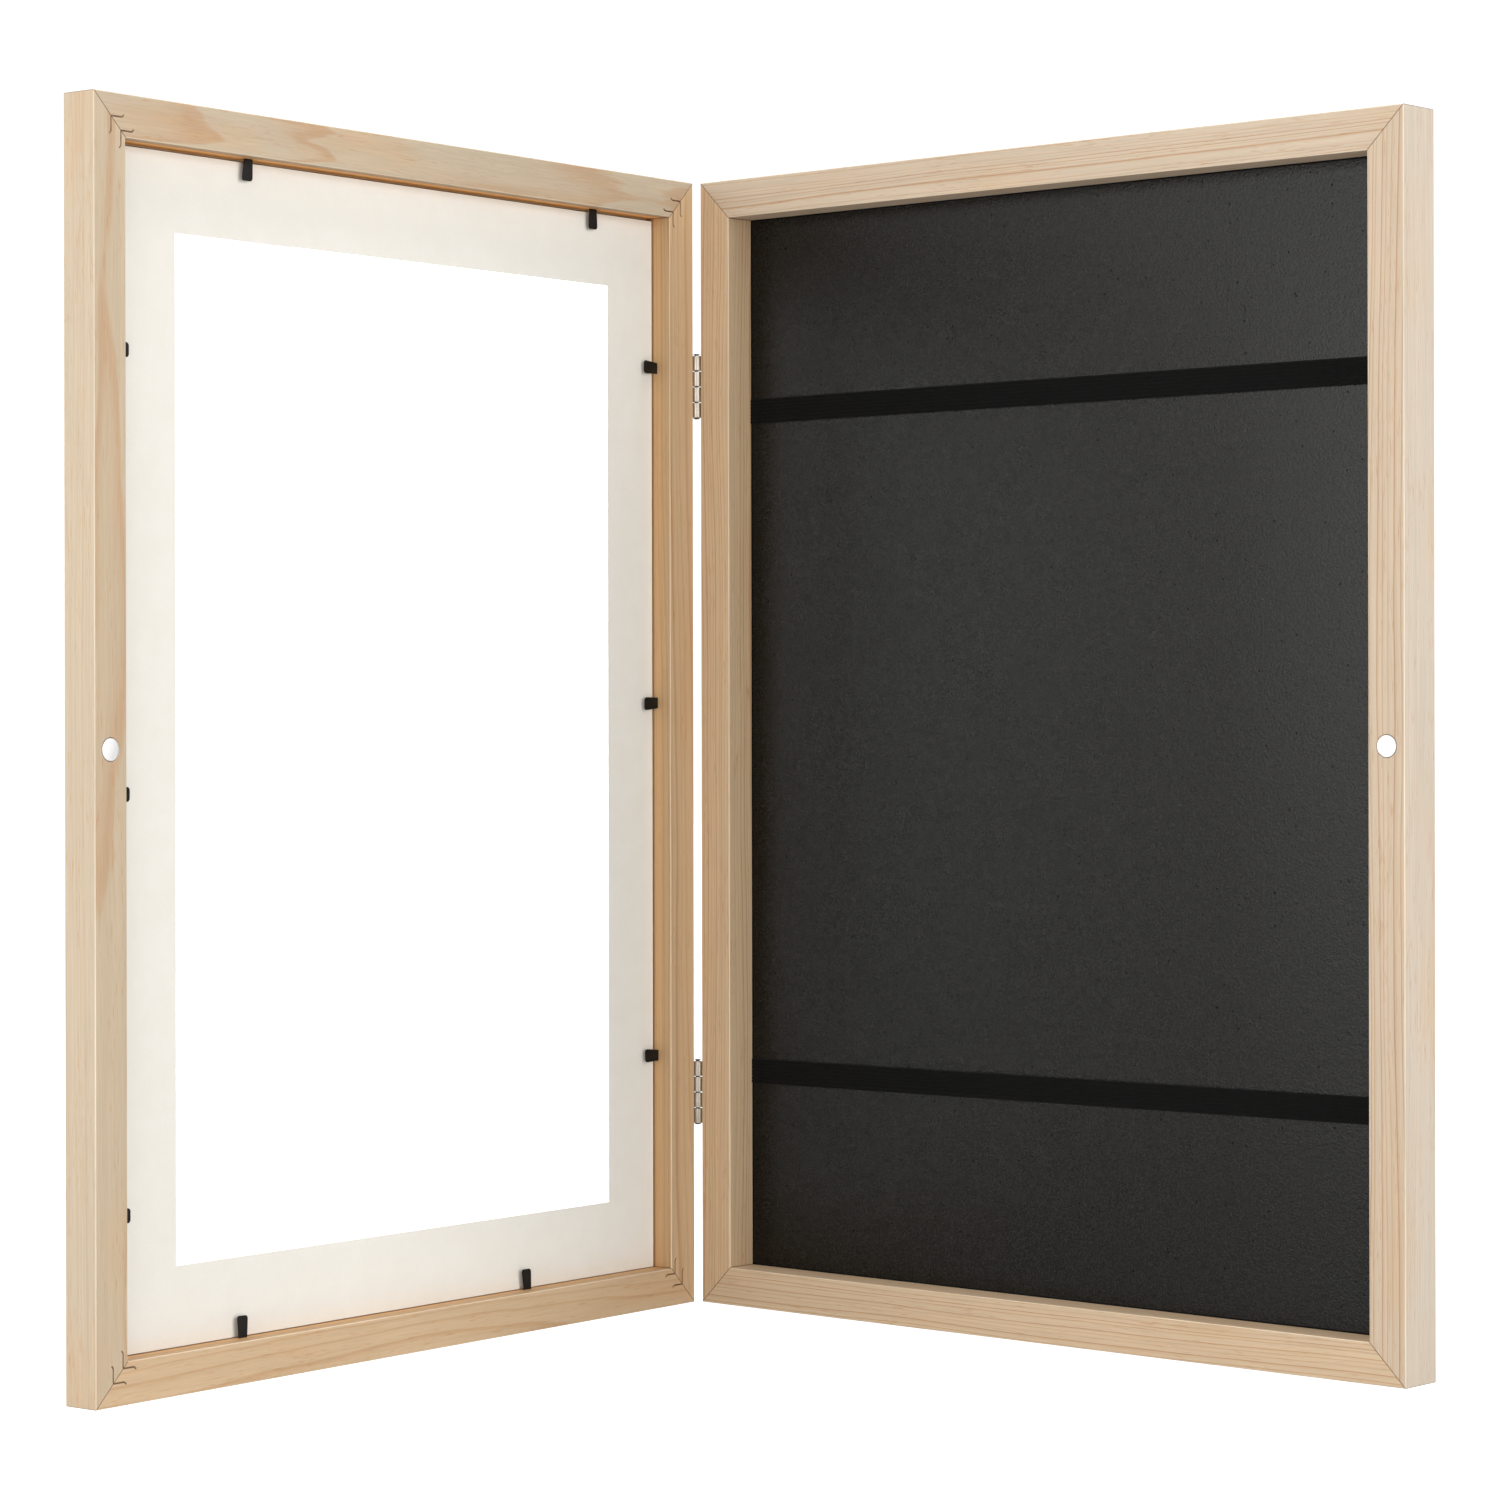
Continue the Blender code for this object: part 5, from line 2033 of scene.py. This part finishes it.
class Door:
    """The door: mouldings, clear sheet, mat, flexible points, V-nails and magnet."""

    # The last value of each cut sets how much painted bounce light its rebate wall gets. The rest shows as painted
    # shade at the mat.
    CUTS = {
        Side.BOTTOM: Cut(across=0.012, depth=0.060, shift=0.9, drift=(0.012, -0.010),
                         tone=0.75, side_tone=0.5, painted_bounce=0.3),
        Side.TOP: Cut(across=-0.004, depth=0.052, shift=2.2, drift=(-0.016, 0.012),
                      tone=0.1, side_tone=0.3, painted_bounce=1.0),
        Side.HINGE: Cut(across=0.022, depth=0.058, shift=3.3, drift=(0.004, 0.006),
                        tone=0.85, side_tone=0.6, painted_bounce=0.15),
        Side.FREE: Cut(across=-0.010, depth=0.062, shift=5.2, drift=(0.003, -0.006),
                       tone=0.22, side_tone=0.1),
    }

    def __init__(self, half: Half) -> None:
        """Sets up the sub-assemblies on the half.

        Args:
            half: the half that they are on.
        """
        size = half.size
        lip, small = size.door_depth - size.door_lip, size.inner_arris
        edge = size.face + size.door_lip_width
        corners = ((0, 0, size.arris), (size.face, 0, size.arris), (size.face, lip, small), (edge, lip, small),
                   (edge, size.door_depth, size.arris), (0, size.door_depth, size.arris))
        self.mouldings = Mouldings(half, "door_pine", Slot.DOOR_PINE, corners, self.CUTS)
        self.window = Window(half)
        self.magnet = Magnet(half)
        self.nails = VNails(half)
        thickness, clearance = 0.0005, 0.00235
        self.points = Tongues(
            half, "tab", "spring", "points", Slot.BLACK_PLASTIC,
            {Side.TOP: (0.167, 0.752), Side.BOTTOM: (0.291, 0.764), Side.HINGE: (0.222, 0.5355, 0.833),
             Side.FREE: (0.1415, 0.465, 0.8075)},
            wall=size.face, depth=self.window.mat_depth() - clearance - thickness / 2,
            length=0.010, root=0.005, width=0.0054, tip_width=0.0068, thickness=thickness, tip_radius=0.0016,
            lift=-0.0003, lean=0.0005)

    def build(self, shop: Workshop) -> None:
        """Makes every piece of the door.

        Args:
            shop: the workshop.
        """
        tools = {side: self.nails.slots(side) for side in Side}
        tools[Side.FREE] += (self.magnet.bore(),)
        self.mouldings.build(shop, tools)
        self.window.build(shop)
        self.points.build(shop)
        self.nails.build(shop)
        self.magnet.build(shop)


# ---------------------------------------------------------------- studio


@dataclass(frozen=True)
class Camera:
    """Level camera at the photograph's place.

    Angles are in radians. The shift moves the picture's frame over what the lens sees, as the
    photograph was cropped: three to four hundredths of its width.
    """

    place: tuple[float, float, float] = (1.21865, -1.61258, 0.30318)
    azimuth: float = 0.72917
    roll: float = 0.0019
    lens: float = 100.729
    sensor: float = 36.0
    shift: tuple[float, float] = (0.03374, -0.02775)

    def build(self) -> None:
        """Makes the scene's level camera, which looks along +Y, then turned and rolled."""
        data = bpy.data.cameras.new("photo_camera")
        data.lens = self.lens
        data.sensor_width = self.sensor
        data.shift_x, data.shift_y = self.shift
        data.clip_start, data.clip_end = 0.05, 60.0
        made = bpy.data.objects.new("photo_camera", data)
        turn = Matrix.Rotation(self.azimuth, 4, "Z") @ Matrix.Rotation(math.pi / 2, 4, "X")
        made.matrix_world = Matrix.Translation(self.place) @ turn @ Matrix.Rotation(-self.roll, 4, "Z")
        bpy.context.scene.collection.objects.link(made)
        bpy.context.scene.camera = made


@dataclass(frozen=True)
class SoftLamp:
    """Large soft lamp that faces the frame.

    Attributes:
        name: name of the lamp.
        azimuth: degrees from the front of the box towards the right.
        power: watts.
        reach: distance from the frame, on the floor plan.
        height: height above the floor.
        width: side of the square that shines.
    """

    name: str
    azimuth: float
    power: float
    reach: float = 2.2
    height: float = 0.55
    width: float = 1.4

    def build(self, target: Vector) -> None:
        """Makes the lamp, turned towards the target.

        Args:
            target: the point that it faces.
        """
        data = bpy.data.lights.new(self.name, "AREA")
        data.shape = "SQUARE"
        data.size = self.width
        data.energy = self.power
        made = bpy.data.objects.new(self.name, data)
        turn = math.radians(self.azimuth)
        made.location = (self.reach * math.sin(turn), -self.reach * math.cos(turn), self.height)
        made.rotation_euler = (target - made.location).to_track_quat("-Z", "Y").to_euler()
        made.visible_camera = False
        bpy.context.scene.collection.objects.link(made)


@dataclass(frozen=True)
class Studio:
    """White surroundings, a pale floor and soft lamps, shown in plain screen colours.

    The camera sees the surroundings and the floor as white, also through the clear sheet, and
    the frame gets less light from them than from the lamps.
    """

    sky: float = 0.25
    white: float = 1.15
    floor_reach: float = 9.0
    floor_drop: float = 0.0004
    floor_glow: float = 0.3
    floor_white: float = 1.15
    target: tuple[float, float, float] = (0.0, -0.2, 0.29)
    lamps: tuple[SoftLamp, ...] = (
        SoftLamp("far_left_lamp", azimuth=-80.0, power=36.0, width=2.6),
        SoftLamp("left_lamp", azimuth=-19.0, power=20.8),
        SoftLamp("camera_lamp", azimuth=20.0, power=13.9),
        SoftLamp("right_lamp", azimuth=90.0, power=48.5, width=2.2),
        SoftLamp("far_right_lamp", azimuth=140.0, power=4.6),
        SoftLamp("rear_lamp", azimuth=205.0, power=26.0, width=2.6),
        SoftLamp("top_lamp", azimuth=0.0, power=34.7, reach=0.0, height=2.6),
    )

    def build(self) -> None:
        """Makes the surroundings, the floor and the lamps."""
        scene = bpy.context.scene
        scene.view_settings.view_transform = "Standard"
        world = bpy.data.worlds.new("white_studio")
        world.use_nodes = True
        tree = Tree(world.node_tree)
        ground = world.node_tree.nodes["Background"]
        strength = tree.span(self._seen(tree), 0.0, 1.0, self.sky, self.white)
        tree.feed(ground, {0: rgba((1.0, 1.0, 1.0)), 1: strength})
        scene.world = world
        self._floor()
        for lamp in self.lamps:
            lamp.build(Vector(self.target))

    @staticmethod
    def _seen(tree: Tree) -> Socket:
        """Mask of the rays that the camera sees straight or through the clear sheet.

        Args:
            tree: tree of the material or of the surroundings.

        Returns:
            The mask, which is 1 for those rays.
        """
        path = tree.add("LightPath").outputs
        bounced = tree.sum("ADD", path["Diffuse Depth"], path["Glossy Depth"])
        through = tree.sum("GREATER_THAN", path["Is Transmission Ray"], tree.sum("ADD", bounced, 0.5))
        return tree.sum("MAXIMUM", path["Is Camera Ray"], through)

    def _floor(self) -> None:
        """Round pale floor, just under the frame, whose soft shadows stay faint."""
        angle = np.linspace(0, 2 * np.pi, 97)[:-1]
        drop = np.full_like(angle, -self.floor_drop)
        points = np.column_stack((self.floor_reach * np.cos(angle), self.floor_reach * np.sin(angle), drop))
        data = bpy.data.meshes.new("floor")
        data.from_pydata(points.tolist(), [], [list(range(len(points)))])
        made = bpy.data.objects.new("floor", data)
        bpy.context.scene.collection.objects.link(made)
        material, tree, shader = new_finish("floor_paper")
        place = tree.add("TexCoord").outputs["Object"]
        value = tree.span(tree.noise(place, 3.0), 0.3, 0.7, 0.29, 0.31)
        tree.feed(shader, {
            "Base Color": tree.add("CombineColor", {0: value, 1: value, 2: value}).outputs[0],
            "Roughness": 0.9,
            "Emission Color": (1, 1, 1, 1),
            "Emission Strength": tree.span(self._seen(tree), 0.0, 1.0, self.floor_glow, self.floor_white),
        })
        data.materials.append(material)


# ---------------------------------------------------------------- main


def halves(frame: dict) -> tuple[Half, Half]:
    """The box and the door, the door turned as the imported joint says.

    The joint's lowest angle is the closed door, so the door at rest is turned back by it.


    Returns:
        The box and the door.
    """
    size = FrameSize()
    joint = frame["joints"][0]
    pivot = Matrix.Translation(joint["pos_m"])
    turn = Matrix.Rotation(math.radians(-joint["range_deg"][0]), 4, Vector(joint["axis"]))
    box = Half("box", -size.box_depth / 2, 1, Matrix.Identity(4), size)
    door = Half("door", -size.box_depth / 2 - size.face_gap, -1, pivot @ turn @ pivot.inverted(), size)
    return box, door


def main() -> None:
    """Builds the dressed frame, the camera and the studio."""
    logging.basicConfig(level=logging.INFO, format="%(message)s")
    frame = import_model()
    box_half, door_half = halves(frame)
    box, door = Box(box_half), Door(door_half)
    palette = Palette(box.straps.width / box.straps.ribs)
    palette.build()
    shop = Workshop(palette)
    box.build(shop)
    door.build(shop)
    Hinges(box_half, door_half).build(shop)
    Camera().build()
    Studio().build()
    bpy.context.view_layer.update()


if __name__ == "__main__":
    main()
